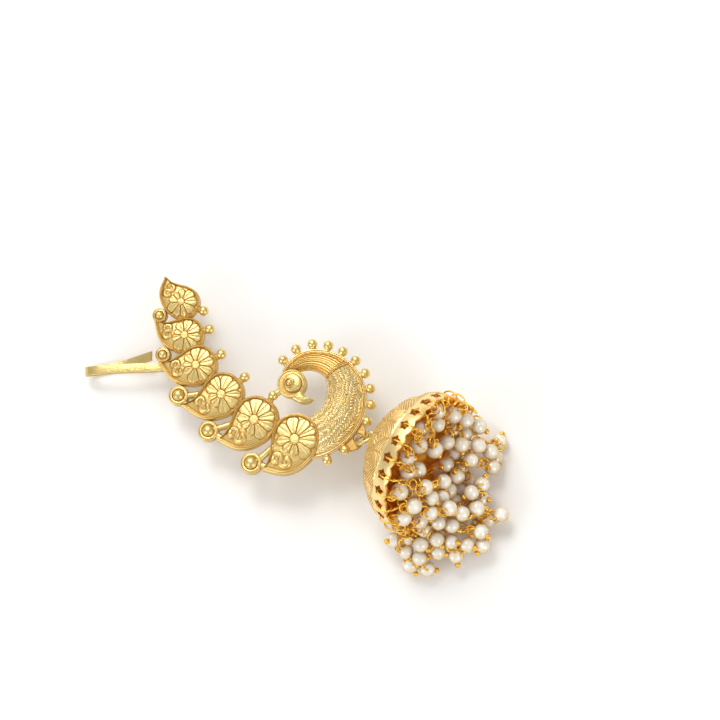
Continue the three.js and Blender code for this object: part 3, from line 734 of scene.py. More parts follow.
# %% Height and groove of the field
def petal_relief(x, y, scale, radius, petals):
    """Height and painted groove shade of the field at local points, in radii, for a plaque of that radius."""
    reach = np.hypot(x, y)
    inside, second, rib = np.full(x.shape, -1.0), np.full(x.shape, -1.0), np.full(x.shape, 1.0)
    for middle, half, longest in petals:
        leaf = turned_flat(np.stack([x, y], -1), -middle)
        run, off = leaf[..., 0] / longest, np.abs(leaf[..., 1])
        bulge = np.sin(math.pi * np.clip(run, 0, 1) ** 1.9) ** .6
        here = np.where((run > 0) & (run < 1), half * bulge - off, -1.0)
        rib = np.where(here > inside, off, rib)
        second = np.maximum(second, np.minimum(inside, here))
        inside = np.maximum(inside, here)
    inside = np.minimum(inside, (inside - second) * .6) * radius
    rise = ramp(inside, 0, .3)
    height = PETAL_RISE * (1 - (1 - rise) ** 2) - RIB_DEPTH * mound(rib * radius, 0, .16) * rise
    # painted shade along the edge of every petal and, faintly, over the ground between them
    groove = np.maximum(mound(inside, -.02, .12) * 1.5, np.where(inside < 0, .1, 0))
    boss = ramp(BOSS - reach, 0, .03)
    height = np.maximum(height * (1 - boss), BOSS_RISE * boss)
    groove = np.maximum(groove * (1 - boss), mound(reach, BOSS + .01, .018) * .9)
    along_tail = ramp(x, .2, .2) * ramp(y, .1, .05) * ramp(reach, .66, .06)
    for line in LINES:
        cut = mound(scale, line, LINE_WIDTH) * along_tail
        height = height - LINE_DEPTH * cut
        groove = np.maximum(groove, .8 * cut)
    stroke = np.full(x.shape, 9.0)
    for start, end in zip(SCROLL, SCROLL[1:]):
        run = end - start
        part = np.clip(((x - start[0]) * run[0] + (y - start[1]) * run[1]) / (run @ run), 0, 1)
        stroke = np.minimum(stroke, np.hypot(x - start[0] - part * run[0], y - start[1] - part * run[1]))
    wire = np.clip(1 - (stroke / SCROLL_HALF) ** 2, 0, 1) ** .6
    beside = stroke > SCROLL_HALF
    height = np.maximum(height * beside, SCROLL_RISE * wire)
    groove = np.maximum(groove * beside, mound(stroke, SCROLL_HALF + .015, .025))
    return height, groove

# %% [markdown]
# Each plaque is one skin over rings that shrink from its outline to its heart. The rim rings
# take their height from the table and the field rings from the relief. Where the next plaque
# lies over a tail, the tail is pressed down flat, so that it doesn't poke through.

# %% Six plaques
PETAL_SEED, COVERED, PRESSED = 11, .97, .9
plaques, petal_dice = Casting(), random.Random(PETAL_SEED)
for index, plaque in enumerate(PLAQUES):
    heart_u, heart_v, radius, heading, tail, _ = plaque
    outline = mango(tail)
    scales = [row[0] for row in RIM] + list(np.linspace(FIELD_EDGE, .02, FIELD_STEPS)) + [0]
    local = outline[None] * np.array(scales)[:, None, None]
    flat = turned_flat(local * radius, heading)
    field = np.array(scales[len(RIM):])[:, None]
    petals = uneven_petals(petal_dice)
    relief, marks = petal_relief(local[len(RIM):, :, 0], local[len(RIM):, :, 1], field, radius, petals)
    dome = FIELD_LOW + FIELD_RISE * (1 - (field / FIELD_EDGE) ** 2) ** .8
    edge = ramp(FIELD_EDGE - field, 0, .03)
    rim_height, rim_groove = (np.repeat(np.array([row[column] for row in RIM])[:, None], len(outline), 1)
                              for column in (1, 2))
    height = np.concatenate([rim_height, dome + relief * edge])
    # painted shade: the rim's from its table, the field's from the relief, and full where the field meets the
    # rim
    groove = np.concatenate([rim_groove, np.maximum(marks * edge, 1 - edge)])
    u, v = heart_u + flat[..., 0], heart_v + flat[..., 1]
    if index + 1 < len(PLAQUES):
        covered = depth_inside(PLAQUES[index + 1], u, v) < COVERED
        height = np.where(covered, np.minimum(height, PRESSED), height)
    plaques.skin(np.stack([u, v, height], -1), groove)
fit(plaques.piece("plaques", FRONT, CAST_GOLD), "cast_gold", "cuff_front")

# %% [markdown]
# The peacock curls round one point, so its body is measured from there: for each heading, an
# inner edge, an outer edge and how far the back stands out. Its feathers are rows of short
# slanted stitches, leaning left and right in turn and cut a little unevenly. On the neck they
# stop at a double band, and smooth ribs take over.

# %% Body of the peacock
CURL = (-9, 5.5)
BODY = [
    # heading, inner edge, outer edge, rise of the back
    (-80, 6.4, 14.4, .8), (-60, 5.5, 14.7, 1.3), (-37, 4.8, 13.9, 2.2), (-7, 3.8, 12.9, 2.6),
    (23, 3.6, 11.55, 2.5), (56, 3.75, 10.05, 2.1), (93, 3.85, 9.0, 1.6), (135, 4.4, 8.35, 1.2),
    (168, 5.2, 7.6, 1.0), (186, 5.7, 6.9, .8),
]
EDGE_WIRES = [
    # distance in from the outer edge, height, painted groove shade
    (.66, 1.0, 1), (.56, 1.24, .1), (.44, 1.26, .1), (.34, 1.06, 1), (.24, 1.2, .1),
    (.1, 1.18, .1), (0, .98, .4), (0, .3, .5), (.1, 0, .5),
]
BODY_SLICES, BACK_POINTS = 540, 84
ROW_WIDTH, STITCH, STITCH_RISE = .9, .68, .42
NECK_FROM, NECK_RIBS, RIB_RISE = 62, 9, .26
BANDS, BAND_WIDTH, BAND_RISE = (NECK_FROM - 3.2, NECK_FROM), 1.1, .5
DARK_LINES, LINE_HALF = (NECK_FROM - 4.8, NECK_FROM - 1.6, NECK_FROM + 1.6), .6
HEAD = (-13.2, 5.0, 3.0)  # u, v and radius
UNDER_HEAD = 1.3
body_rows = smooth_path(BODY, 2000, 0)


def body_at(heading):
    """Inner edge, outer edge and rise at a heading."""
    return [float(np.interp(heading, body_rows[:, 0], body_rows[:, column])) for column in (1, 2, 3)]


def feather_relief(heading, across, inner, outer):
    """Height and painted groove shade of the feathers: rows of slanted stitches, leaning left and right in
    turn.
    """
    along = math.radians(heading) * 10.5
    place = across * (outer - inner) / ROW_WIDTH + .22 * math.sin(along / 1.3) + .15 * math.sin(along / .55)
    row = np.floor(place)
    within = place - row
    lean = np.where(row % 2 == 0, within, 1 - within)
    stroke = along / STITCH + lean * 1.4 + row * .37 + .3 * np.sin(place * 1.7)
    chance = np.sin(np.floor(stroke) * 12.99 + row * 78.23) * 43758.5
    uneven = chance - np.floor(chance)
    stitch = np.abs(np.sin(math.pi * stroke)) ** .7 * np.sin(math.pi * within) ** .25
    relief = stitch * (.45 + .7 * uneven)
    return STITCH_RISE * relief, np.clip(1.05 - 2.1 * relief, 0, 1)


def rib_relief(across):
    wave = np.cos(2 * math.pi * (across * NECK_RIBS - .5))
    # painted shade in the hollows between the ribs
    return RIB_RISE * wave, np.clip(.4 - wave, 0, 1)


print("inner edge, outer edge and rise where the neck begins, mm:", [round(c, 2) for c in body_at(NECK_FROM)])

# %% [markdown]
# The body is one skin over slices. A slice climbs the inner wall, crosses the domed back with
# its feathers or ribs, and comes down over two thin wires at the outer edge. Where the last
# plaque and the head lie over the body, its points are pressed down below them.

# %% Skin of the body
back = np.linspace(0, 1, BACK_POINTS)
slices, marks = [], []
for heading in np.linspace(BODY[0][0], BODY[-1][0], BODY_SLICES):
    inner, outer, rise = body_at(heading)
    scales, scale_groove = feather_relief(heading, back, inner, outer)
    ribs, rib_groove = rib_relief(back)
    neck = ramp(heading, NECK_FROM - .8, 1.6)
    edge = ramp(np.minimum(back, 1 - back), 0, .04)
    relief = ((1 - neck) * scales + neck * ribs) * edge
    groove = ((1 - neck) * scale_groove + neck * rib_groove) * edge
    for band in BANDS:
        band_rise = mound(heading, band, BAND_WIDTH)
        relief = np.maximum(relief, BAND_RISE * band_rise * edge)
        groove = np.where(band_rise > .4, 0, groove)
    # painted shade lines beside the neck bands, with no cut in the relief
    if any(abs(heading - line) < LINE_HALF for line in DARK_LINES):
        groove = np.ones(BACK_POINTS)
    height = .6 + rise * np.sin(math.pi * (.08 + .84 * back)) + relief
    distance = inner + .1 + back * (outer - .75 - inner - .1)
    section = [(inner + .15, 0), (inner, .5), *zip(distance, height)]
    section += [(outer - inset, level) for inset, level, _ in EDGE_WIRES]
    slices.append([polar(CURL, heading, *point) for point in section])
    # painted shade on the inner wall and between the edge wires
    marks.append([.5, .4, *groove, *(row[2] for row in EDGE_WIRES)])
slices, marks = np.array(slices), np.array(marks)
u, v, height = slices[..., 0], slices[..., 1], slices[..., 2]
under_plaque = depth_inside(PLAQUES[-1], u, v) < COVERED
under_head = np.hypot(u - HEAD[0], v - HEAD[1]) < HEAD[2] - .1
height = np.where(under_plaque, np.minimum(height, PRESSED), height)
slices[..., 2] = np.where(under_head, np.minimum(height, UNDER_HEAD), height)
body = Casting()
body.skin(slices, marks)
fit(body.piece("peacock_body", FRONT, FEATHER_GOLD), "cast_gold", "cuff_front")

# %% [markdown]
# The head is a turned disc with a rim. A raised round brow stands on it, a little off its
# middle, and carries the eye in its own wire ring. The beak is a short blunt plate that curves
# away from the neck.

# %% Head, eye and beak
HEAD_PROFILE = [
    # radius, height, painted groove shade
    (0, 0, 0), (3, 0, 0), (3.05, .1, 0), (3.05, 1.7, 0), (3.0, 1.92, 0), (2.9, 2.05, 0), (2.78, 2.06, .2),
    (2.7, 1.98, .9), (2.62, 1.96, .5), (2.4, 2.0, .3), (2.1, 2.02, .5), (1.6, 2.02, .9), (0, 2.02, 1),
]
BROW_PROFILE = [
    (0, 1.5, 1), (1.98, 1.5, 1), (1.97, 2.3, .9), (1.94, 2.6, .3), (1.86, 2.78, .1), (1.7, 2.88, 0),
    (1.4, 2.94, 0), (1, 3.0, 0), (.5, 3.03, 0), (0, 3.04, 0),
]
EYE_PROFILE = [
    (0, -.4, 0), (1.14, -.4, 1), (1.14, -.02, 1), (1.08, .12, .2), (.97, .22, 0), (.86, .17, .3),
    (.78, .0, 1), (.7, .02, 1), (.66, .2, .2), (.57, .4, 0), (.42, .53, 0), (.22, .61, 0), (0, .64, 0),
]
BROW = (HEAD[0] + .32, HEAD[1] + .14)
EYE, EYE_LIFT = (HEAD[0] - .2, HEAD[1] - .08), 2.98
BEAK = [
    # u, v
    (-12.2, 2.3), (-11.3, 2.0), (-10.2, 1.9), (-9.2, 2.1), (-8.4, 2.55), (-7.85, 3.2),
    (-7.75, 3.75), (-8.4, 3.6), (-9.1, 3.5), (-10.0, 3.9), (-11.2, 4.6), (-12.2, 4.2),
]
BEAK_LAYERS = [(1, .3), (1, 1.45), (.95, 1.7), (.86, 1.85), (.6, 2.0), (.3, 2.06), (0, 2.08)]
head = Casting()
head.turned(HEAD_PROFILE, HEAD, 64)
head.turned(BROW_PROFILE, BROW, 64)
beak_outline = smooth_path([*BEAK, BEAK[0]], 65)[:-1]
beak_middle = beak_outline.mean(0)
head.skin([[(*(beak_middle + (point - beak_middle) * scale), level) for point in beak_outline]
           for scale, level in BEAK_LAYERS])
head.turned(EYE_PROFILE, EYE, 40, EYE_LIFT)
fit(head.piece("peacock_head", FRONT, CAST_GOLD), "cast_gold", "cuff_front")

# %% [markdown]
# A stud stands where each plaque's tail ends: a bead in a double ring. They are turned shapes,
# so each is one profile swept round. A flat tab with a hole, behind the body, carries the ring
# of the bell.

# %% Studs, braces and tab
STUDS = [
    # u, v, radius of the ring, radius of the bead
    (-45.65, 7.8, 1.45, .86), (-41.5, .4, 1.55, .92), (-34.75, -6.25, 2.05, 1.25),
    (-25.7, -10.75, 2.1, 1.28), (-14.35, -13.55, 2.2, 1.38),
]
STUD_RINGS = [
    # distance in from the outer edge, height, painted groove shade
    (0, 0, .5), (0, 1.2, .4), (.05, 1.5, .1), (.14, 1.7, 0), (.24, 1.72, 0), (.32, 1.6, .6), (.4, 1.62, .1),
]
STUD_SEAT = [
    # distance out from the bead, height, painted groove shade
    (.16, 1.66, 0), (.08, 1.56, .7), (0, 1.42, 1),
]
BALL_LEVEL, BALL_RISE, BALL_ARC = 1.46, .85, np.linspace(0, math.pi / 2, 12)
trim = Casting()
for u, v, ring, bead in STUDS:
    inner, outer = min(bead, ring - .6), ring + .1
    # painted shade at the stud's foot and where the bead meets its seat
    stud = [(0, 0, .5)]
    stud += [(outer - inset, *row) for inset, *row in STUD_RINGS]
    stud += [(inner + outset, *row) for outset, *row in STUD_SEAT]
    stud += [(inner * math.cos(t), BALL_LEVEL + bead * BALL_RISE * math.sin(t), .6 if t < .1 else 0)
             for t in BALL_ARC]
    trim.turned(stud, (u, v), 44)
TAB = [
    # heading from the peacock's curl, distance
    (-44, 12.0), (-42, 14.4), (-33, 15.8), (-27, 16.2), (-21, 15.9), (-17, 15.1), (-12, 14.0),
    (-12, 12.0), (-28, 11.2),
]
TAB_HOLE, TAB_HOLE_RADIUS, TAB_THICKNESS = np.array((4.45, -.15)), 1.05, .6
# the middle value is painted shade over the whole tab, which lies behind the body
TAB_CHAMFER, TAB_SHADE, TAB_POINTS = .12, .6, 96
tab_edge = smooth_path([polar(CURL, *row)[:2] for row in (*TAB, TAB[0])], 200)[:-1] - TAB_HOLE
tab_angles = np.arctan2(tab_edge[:, 1], tab_edge[:, 0])
order = np.argsort(tab_angles)
turn_round = np.linspace(-math.pi, math.pi, TAB_POINTS, endpoint=False)
reach = np.interp(turn_round, tab_angles[order], np.hypot(*tab_edge[order].T), period=2 * math.pi)
compass = np.stack([np.cos(turn_round), np.sin(turn_round)], 1)
TAB_LAYERS = [
    # distance from the hole's middle, height
    (reach, 0), (reach, TAB_THICKNESS - TAB_CHAMFER), (reach - TAB_CHAMFER, TAB_THICKNESS),
    (reach - .2, TAB_THICKNESS), (TAB_HOLE_RADIUS + .2, TAB_THICKNESS),
    (TAB_HOLE_RADIUS + TAB_CHAMFER, TAB_THICKNESS), (TAB_HOLE_RADIUS, TAB_THICKNESS - TAB_CHAMFER),
    (TAB_HOLE_RADIUS, 0), (reach, 0),
]
trim.skin([np.column_stack([TAB_HOLE + compass * np.reshape(layer, (-1, 1)), np.full(TAB_POINTS, level)])
           for layer, level in TAB_LAYERS], TAB_SHADE, shut=False)
fit(trim.piece("studs_and_tab", FRONT, CAST_GOLD), "cast_gold", "cuff_front")

# %% [markdown]
# Every plaque but the last ends in a bead on a short peg, and a row of the same beads runs
# round the peacock's back like a crest.

# %% Beads at the edge
CREST = [157, 135, 113, 93, 74, 56, 39, 23, 8, -7, -37, -53]
BEAD_LEVEL, BEAD_RADIUS, PEG_RADIUS = .95, 1.05, .72
bead_rows, pegs = [], []


def add_bead(centre, heading, edge, out, inset, root):
    """A bead a little out from an edge, on a peg that is rooted inside it."""
    bead = polar(centre, heading, edge + out, BEAD_LEVEL)
    bead_rows.append((*inside_box(FRONT, bead, BEAD_RADIUS), BEAD_RADIUS))
    pegs.append([polar(centre, heading, edge - inset, root), bead])


for u, v, radius, _, _, heading in PLAQUES[:-1]:
    add_bead((u, v), heading, radius, 1.25, .35, .5)
for heading in CREST:
    add_bead(CURL, heading, body_at(heading)[1], 1.05, .45, .25)
fit(beads("edge_beads", bead_rows, FRONT, BRIGHT_GOLD, Roundness=4), "cast_gold", "cuff_front")

# %% [markdown]
# The bead of the fifth plaque is held to the peacock's head as well. Short braces join the
# three largest studs to the plaques beside them, and a peg runs from each of these studs up the
# tail that ends there. All of them are short lengths of round wire. A row of small grains
# follows the inner edge of the body.

# %% Pegs and body rope
BRACES = [((-33.2, -5.7), (-31.0, -4.4)), ((-24.9, -10.1), (-21.8, -7.6)), ((-13.4, -12.6), (-11.4, -8.4))]
BRACE_LEVEL, TAIL_PEG_LEVEL = .9, .8
last_bead = np.array(bead_rows[len(PLAQUES) - 2][:3])
pegs.append([last_bead, polar(HEAD, 230, 2.6, BEAD_LEVEL)])
pegs += [[np.array((*end, BRACE_LEVEL)) for end in brace] for brace in BRACES]
for stud, (u, v, radius, heading, tail, _) in zip(STUDS[2:], PLAQUES[3:]):
    pegs.append([np.array((*stud[:2], TAIL_PEG_LEVEL)),
                 polar((u, v), heading, radius * (tail - .25), TAIL_PEG_LEVEL)])
fit(wires("pegs", pegs, FRONT, CAST_GOLD, PEG_RADIUS, 14, closed=False), "cast_gold", "cuff_front")
GRAIN_RADIUS, GRAIN_STEP, ROPE_FROM = .35, .58, -58.0
rope, heading = [], ROPE_FROM
while heading < NECK_FROM - 4:
    inner = body_at(heading)[0]
    rope.append((*polar(CURL, heading, inner + .08, .8), GRAIN_RADIUS))
    heading += math.degrees(GRAIN_STEP / inner)
fit(beads("body_rope", rope, FRONT, CAST_GOLD, Roundness=2), "cast_gold", "cuff_front")

# %% [markdown]
# The hook that grips the rim of the ear is a flat band, bent like a hairpin, so it is a rounded
# bar section carried along its route.

# %% Hook
HOOK_ROOT, HOOK_HEADING = (-42.4, -2.5), 205
HOOK_WIDTH, HOOK_THICKNESS, HOOK_CORNER = 2.0, .6, .16
HOOK_ROUTE = [
    # along, aside, height
    (-3.2, 0, -.65), (.5, 0, -.65), (4.5, 0, 0), (9, 0, .15), (13, 0, -.35), (14.9, .15, -1.5),
    (15.2, .4, -3), (14, .8, -4.5), (11, 1.3, -5.15), (7.5, 1.9, -4.85), (4, 2.5, -3.6), (1.2, 2.9, -2.2),
]
ahead, aside = polar((0, 0), HOOK_HEADING, 1), polar((0, 0), HOOK_HEADING - 90, 1)
route = smooth_path([np.array((*HOOK_ROOT, height)) + ahead * along + aside * off
                     for along, off, height in HOOK_ROUTE], 110)
quarter = np.linspace(0, math.pi / 2, 5)
corner = [(math.cos(t) * HOOK_CORNER, math.sin(t) * HOOK_CORNER) for t in quarter]
half_width, half_thick = HOOK_WIDTH / 2 - HOOK_CORNER, HOOK_THICKNESS / 2 - HOOK_CORNER
section = []
for side_sign, thick_sign, turn in ((1, 1, 1), (-1, 1, -1), (-1, -1, 1), (1, -1, -1)):
    section += [(side_sign * (half_width + x), thick_sign * (half_thick + y)) for x, y in corner[::turn]]
thick = unit(np.cross(unit(np.gradient(route, axis=0)), aside))
hook = Casting()
# painted shade along both long edges of the band
edge_shade = [.8 if abs(x) > half_width + HOOK_CORNER * .8 else 0 for x, _ in section]
hook.skin([[centre + aside * x + out * y for x, y in section]
           for centre, out in zip(route, thick)], edge_shade)
fit(hook.piece("ear_hook_band", FRONT, CAST_GOLD), "bright_gold", "ear_hook")

# %% [markdown]
# The hidden post is turned. It has a rounded tip, and a pad soldered behind the front.

# %% Post
POST_TOP = POST_LENGTH - .4
PAD_BASE = POST_TOP - .5
POST_PROFILE = [
    # radius, height
    (0, 0), (.22, 0), (.36, .12), (.45, .5), (.45, PAD_BASE - .25), (.62, PAD_BASE), (1.32, PAD_BASE),
    (1.4, PAD_BASE + .08), (1.4, POST_TOP - .08), (1.32, POST_TOP), (0, POST_TOP),
]
post = Casting()
post.turned(POST_PROFILE, (0, 0), 36)
fit(post.piece("ear_post_turned", WORLD, BRIGHT_GOLD), "bright_gold", "ear_post")

# %% [markdown]
# The bell is a thin dome, chased with rows of pointed leaves, with a plain band near the mouth,
# a row of pierced stars and a scalloped rim. All of that follows rules, so one Geometry Nodes
# tree makes it: a flat grid is wrapped over the outside, round the rim and back along the
# inside, the leaves and scallops move its points, and a ring of star-shaped bars is cut out.
# The tree works in millimetres in the bell's own frame, and stores each point's place there, so
# that the finish can follow the leaves.

# %% Leaves of the bell
BELL_RADIUS, BELL_HEIGHT, BELL_WALL, BELL_SWELL = 15.0, 12.6, .7, .6
STARS, STAR_LEVEL = 24, 2.0
BAND_TOP, LEAF_TOP = 3.7, 11.6
LEAF_HEIGHT, LEAVES_AROUND = 3.6, 12
LEAF_CUTS, CUT_SLANT = 6.5, 3.4


def bell_radius(level, depth):
    """Radius of the dome at a level above its rim, at a depth below its skin."""
    part = np.maximum(level, 0) / (BELL_HEIGHT - depth)
    return (BELL_RADIUS - depth) * (1 - np.minimum(part, 1) ** 2) ** BELL_SWELL


def leaf_places(angle, level):
    """Distance from a leaf's midrib, place along the leaf, and distance inside its edge."""
    run = (level - BAND_TOP) / LEAF_HEIGHT
    row, along = run.whole(), run.fraction()
    cell = angle * (LEAVES_AROUND / (2 * math.pi)) + row * .5
    across = (cell.fraction() * 2 - 1).size()
    return across, along, 1 - along ** 1.7 - across


print("radius at the top of the plain band, mm:", round(float(bell_radius(BAND_TOP, 0)), 2))

# %% [markdown]
# In the tree one value, climb, runs from the rim to the apex on the outside and back again on
# the inside, so a single grid makes a wall with a real thickness. The leaves swell it
# outwards, the scallops shorten it between the stars, and the stars are cut last, so that they
# are true holes.

# %% Tree of the bell
SCALLOP_TOP, STAR_INNER, MERGE = 1.6, .66, .002
BELL_SIZES = {
    "Around": 312, "Levels": 140, "Radius": BELL_RADIUS, "Height": BELL_HEIGHT, "Wall": BELL_WALL,
    "Scallop": .6, "Star": 1.35, "Leaf relief": .3,
}


def bell_growth():
    group, tree, given = new_growth("bell", BELL_SIZES)
    count = tree.value(given["Levels"])
    around = tree.value(given["Around"]) + 1
    grid = tree.add("GeometryNodeMeshGrid",
                    {"Size X": 1.0, "Size Y": 1.0, "Vertices X": around, "Vertices Y": count})["Mesh"]
    x, y, _ = tree.split(tree.add("GeometryNodeInputPosition")[0])
    climb = ((y * 2).size() * (count - 1) - 1) / (count - 2) * (math.pi / 2)
    inside = tree.maths("GREATER_THAN", y, 0)
    depth = inside * given["Wall"]
    angle = (x + .5) * (2 * math.pi)
    level = climb.sine() * (tree.value(given["Height"]) - depth)
    radius = climb.cosine().most(0) ** (2 * BELL_SWELL) * (tree.value(given["Radius"]) - depth)
    _, _, leaf = leaf_places(angle, level)
    relief = leaf.rise(-.02, .3) * level.rise(BAND_TOP, BAND_TOP + .3) * given["Leaf relief"]
    relief = relief * (1 - inside) * (1 - level.rise(LEAF_TOP, LEAF_TOP + .7))
    swell = relief / BELL_RADIUS + 1
    scallop = (1 - (angle * (STARS / 2)).cosine().size()) ** 1.3 * given["Scallop"]
    height = level * swell + scallop * (1 - level.rise(0, SCALLOP_TOP))
    reach = radius * swell
    place = tree.joined(angle.cosine() * reach, angle.sine() * reach, height * -1)
    shell = tree.add("GeometryNodeSetPosition", {"Geometry": grid, "Position": place})[0]
    shell = tree.add("GeometryNodeMergeByDistance", {"Geometry": shell, "Distance": MERGE})[0]
    shaft = tree.add("GeometryNodeCurvePrimitiveLine",
                     {"Start": (BELL_RADIUS - 2.5, 0, 0), "End": (BELL_RADIUS + 1, 0, 0)})[0]
    inner = tree.value(given["Star"]) * STAR_INNER
    star = tree.add("GeometryNodeCurveStar",
                    {"Points": 5, "Inner Radius": inner, "Outer Radius": given["Star"]})["Curve"]
    cutter = tree.add("GeometryNodeCurveToMesh",
                      {"Curve": shaft, "Profile Curve": star, "Fill Caps": True})[0]
    seats = tree.add("GeometryNodePoints", {"Count": STARS, "Position": (0, 0, -STAR_LEVEL)})[0]
    step = tree.value(tree.add("GeometryNodeInputIndex")[0]) * (2 * math.pi / STARS)
    cutters = copies(tree, seats, cutter, Rotation=tree.joined(z=step))
    cutters = tree.add("GeometryNodeRealizeInstances", {"Geometry": cutters})[0]
    pierced = tree.add("GeometryNodeMeshBoolean", {"Mesh 1": shell, "Mesh 2": cutters},
                       operation="DIFFERENCE", solver="MANIFOLD")[0]
    place = tree.add("GeometryNodeInputPosition")[0]
    close_growth(tree, stored(tree, pierced, "place", place, "FLOAT_VECTOR"), given)
    return group


bell_tree = bell_growth()
print("tree:", bell_tree.name, "sizes:", list(BELL_SIZES))

# %% [markdown]
# The bell's finish follows the leaves: fine slanted cuts on both sides of a midrib, bright on the ridges,
# with painted shade in the cuts, along the midrib and round each leaf, then a plain satin band. The hollow of
# the bell only sees itself, so points inside the wall take an orange gold with streaks: a painted reflection
# of gold in gold.

# %% Finish of the bell
BELL_GRAIN, CUT_DEPTH = 2300, .0002


def bell_finish():
    material, tree, position = new_finish("bell_gold")
    x, y, z = tree.split(tree.attribute("place", "Vector"))
    level = z * -1
    angle = tree.maths("ARCTAN2", y, x)
    across, along, leaf = leaf_places(angle, level)
    reach = (x * x + y * y) ** .5
    part = (level / (BELL_HEIGHT - BELL_WALL / 2)).most(0).least(1)
    middle = (1 - part * part) ** BELL_SWELL * (BELL_RADIUS - BELL_WALL / 2)
    inner = 1 - (reach - middle).rise(-.12, .12)
    cloud = noise(tree, position, CLOUD_SCALE)
    chased = (level + (cloud - .5) * 1.2).rise(BAND_TOP, BAND_TOP + .5) * (1 - inner)
    cuts = ((along * LEAF_CUTS + across * CUT_SLANT + cloud) * (2 * math.pi)).sine() * .5 + .5
    rib = 1 - across.rise(.03, .1)
    edge = 1 - leaf.size().rise(.02, .12)
    fine = noise(tree, position, BELL_GRAIN, 2)
    # painted shade in the chased cuts, along the sunk midrib and round the edge of each leaf
    groove = ((cuts.rise(.4, .9) * .9).most(rib * .6).most(edge * .5)) * chased
    groove = (groove + cloud.rise(.6, .75) * .15).least(1)
    outside = mixed(tree, groove, colour(249, 221, 154), colour(206, 154, 74))
    streaks = noise(tree, tree.joined(angle * 9, level * .35), 1.0)
    # painted reflection: the inside is orange, the colour of gold seen in gold, with streaks
    hollow = mixed(tree, streaks.rise(.35, .65), colour(244, 150, 36), colour(255, 196, 82))
    tint = mixed(tree, inner, outside, hollow)
    rough = .34 + (cloud - .5) * .1 + groove * .15 + inner * .1
    height = (cuts * .8 - rib) * chased + fine * .25
    return finish(material, tree, Base_Color=tint, Metallic=1.0, Roughness=rough,
                  Normal=bumped(tree, height, CUT_DEPTH))


BELL_GOLD = bell_finish()
bell = grow("bell_shell", bpy.data.meshes.new("seed"), bell_tree, BELL_GOLD)
bell.data.transform(BELL)
bell.data.set_sharp_from_angle(angle=CREASE)
fit(bell, "bell_gold", "bell_dome")

# %% [markdown]
# A collar and a loop of wire stand on the apex, and the jump ring joins the loop to the tab of
# the front. Loop and ring are both hoops of round wire.

# %% Loop, collar and jump ring
LOOP_RADIUS, LOOP_WIRE, LOOP_OUT = 1.15, .7, 1.25
RING_WIRE, RING_SEAT, RING_LEAN = .82, (4.3, -.35, TAB_THICKNESS / 2), np.array((.07, .76, -.65))
COLLAR = [
    # radius, height above the apex
    (0, .12), (.9, .1), (1.1, .05), (1.45, -.1), (1.5, -.5), (0, -.6),
]


def hoop(name, centre, along, across, radius, wire):
    """A round hoop of wire, in the plane of two directions."""
    path = [centre + (along * math.cos(t) + across * math.sin(t)) * radius
            for t in np.linspace(0, 2 * math.pi, 40, endpoint=False)]
    return wires(name, [path], WORLD, CAST_GOLD, wire / 2, 16)


seat = np.array(WORLD.inverted() @ FRONT @ Vector(RING_SEAT))
apex_hole = np.array(MOUTH_FRAME @ Vector((0, 0, -BELL_HEIGHT - LOOP_OUT)))
reach = apex_hole - seat
ring_across = unit(RING_LEAN - reach * (RING_LEAN @ reach) / (reach @ reach))
axis = np.array(MOUTH_AXIS)
ring_radius = np.linalg.norm(reach) / 2
fit(hoop("jump_ring_wire", (seat + apex_hole) / 2, unit(reach), ring_across, ring_radius, RING_WIRE),
    "bright_gold", "jump_ring")
fit(hoop("bell_loop", apex_hole, axis, unit(np.cross(axis, ring_across)), LOOP_RADIUS, LOOP_WIRE),
    "bell_gold", "bell_dome")
collar = Casting()
collar.turned([(radius, -BELL_HEIGHT - rise) for radius, rise in COLLAR], (0, 0), 32)
fit(collar.piece("bell_collar", BELL, BRIGHT_GOLD), "bell_gold", "bell_dome")

# %% [markdown]
# Pearls hang in bunches from the rim. Lying on a table they roll apart until they share the
# room, which a short rule reproduces: push every close pair apart, push every pearl off the
# bell's wall, lift it to the ground, and repeat. The rule uses the smaller pearls of the solid
# model with some clearance, so that there is room for the pearls to grow.

# %% Where the pearls lie
PEARL_RADIUS, CLEARANCE, PASSES = 1.45, .42, 200
BUNCHES = [
    [(11.5, -.5, 0), (6, -2, 1)], [(8, 4.5, 0)], [(10, 6.5, -.2)], [(5.5, 6, -2)], [(3, 2, 1)],
    [(2, 6.5, -.5)], [(-2, 9.5, 0)], [(-4, 7.5, .5), (-2.5, 3.5, .5)], [(-5, 3.5, 4), (-2, -3.5, 4)],
    [(-8.5, 7.5, 1), (-6.5, .5, 5), (-4.5, -4, 5)], [(-9.5, 3.5, 3.5), (-8.5, -1, 5.5), (-6, -3.5, 7.5)],
    [(-12.5, 2, 2), (-11, -3.5, 3), (-9.5, -7, 5.5)], [(-12.5, -7.5, 3.5), (-12.5, -9.5, 6)],
    [(-15, -9, 0), (-16.5, -8.5, -2), (-17.5, -11, .5), (-20, -13.5, 1.5)],
    [(-14.5, -8.5, 3.5), (-14.5, -12.5, 6), (-17.5, -11.5, 3.5), (-18.5, -14, 5)],
    [(-11.5, -11.5, 8), (-13.5, -14, 9.5), (-10.5, -13.5, 11)],
    [(-8.5, -9.5, 7.5), (-7, -13, 12.5), (-9, -15, 13)],
    [(-3, -11, 10), (-3.5, -15.5, 11.5), (-1.5, -15, 14), (-5.5, -9, 8.5)], [(-.5, -14, 8.5), (2, -11, 8.5)],
    [(3.5, -10.5, 2.5), (2.5, -7, 1), (5, -8, 1)], [(5.5, -8, 5), (6.5, -13.5, 7.5), (9, -16, 6.1)],
    [(9, -11.5, 6.5), (12, -16, 5.4), (8.5, -8, 5)], [(12, -7.5, 3), (10, -7, 1.5)],
    [(12, -4, 1.5), (9, -4.5, 0), (7, -4.5, 3)],
]


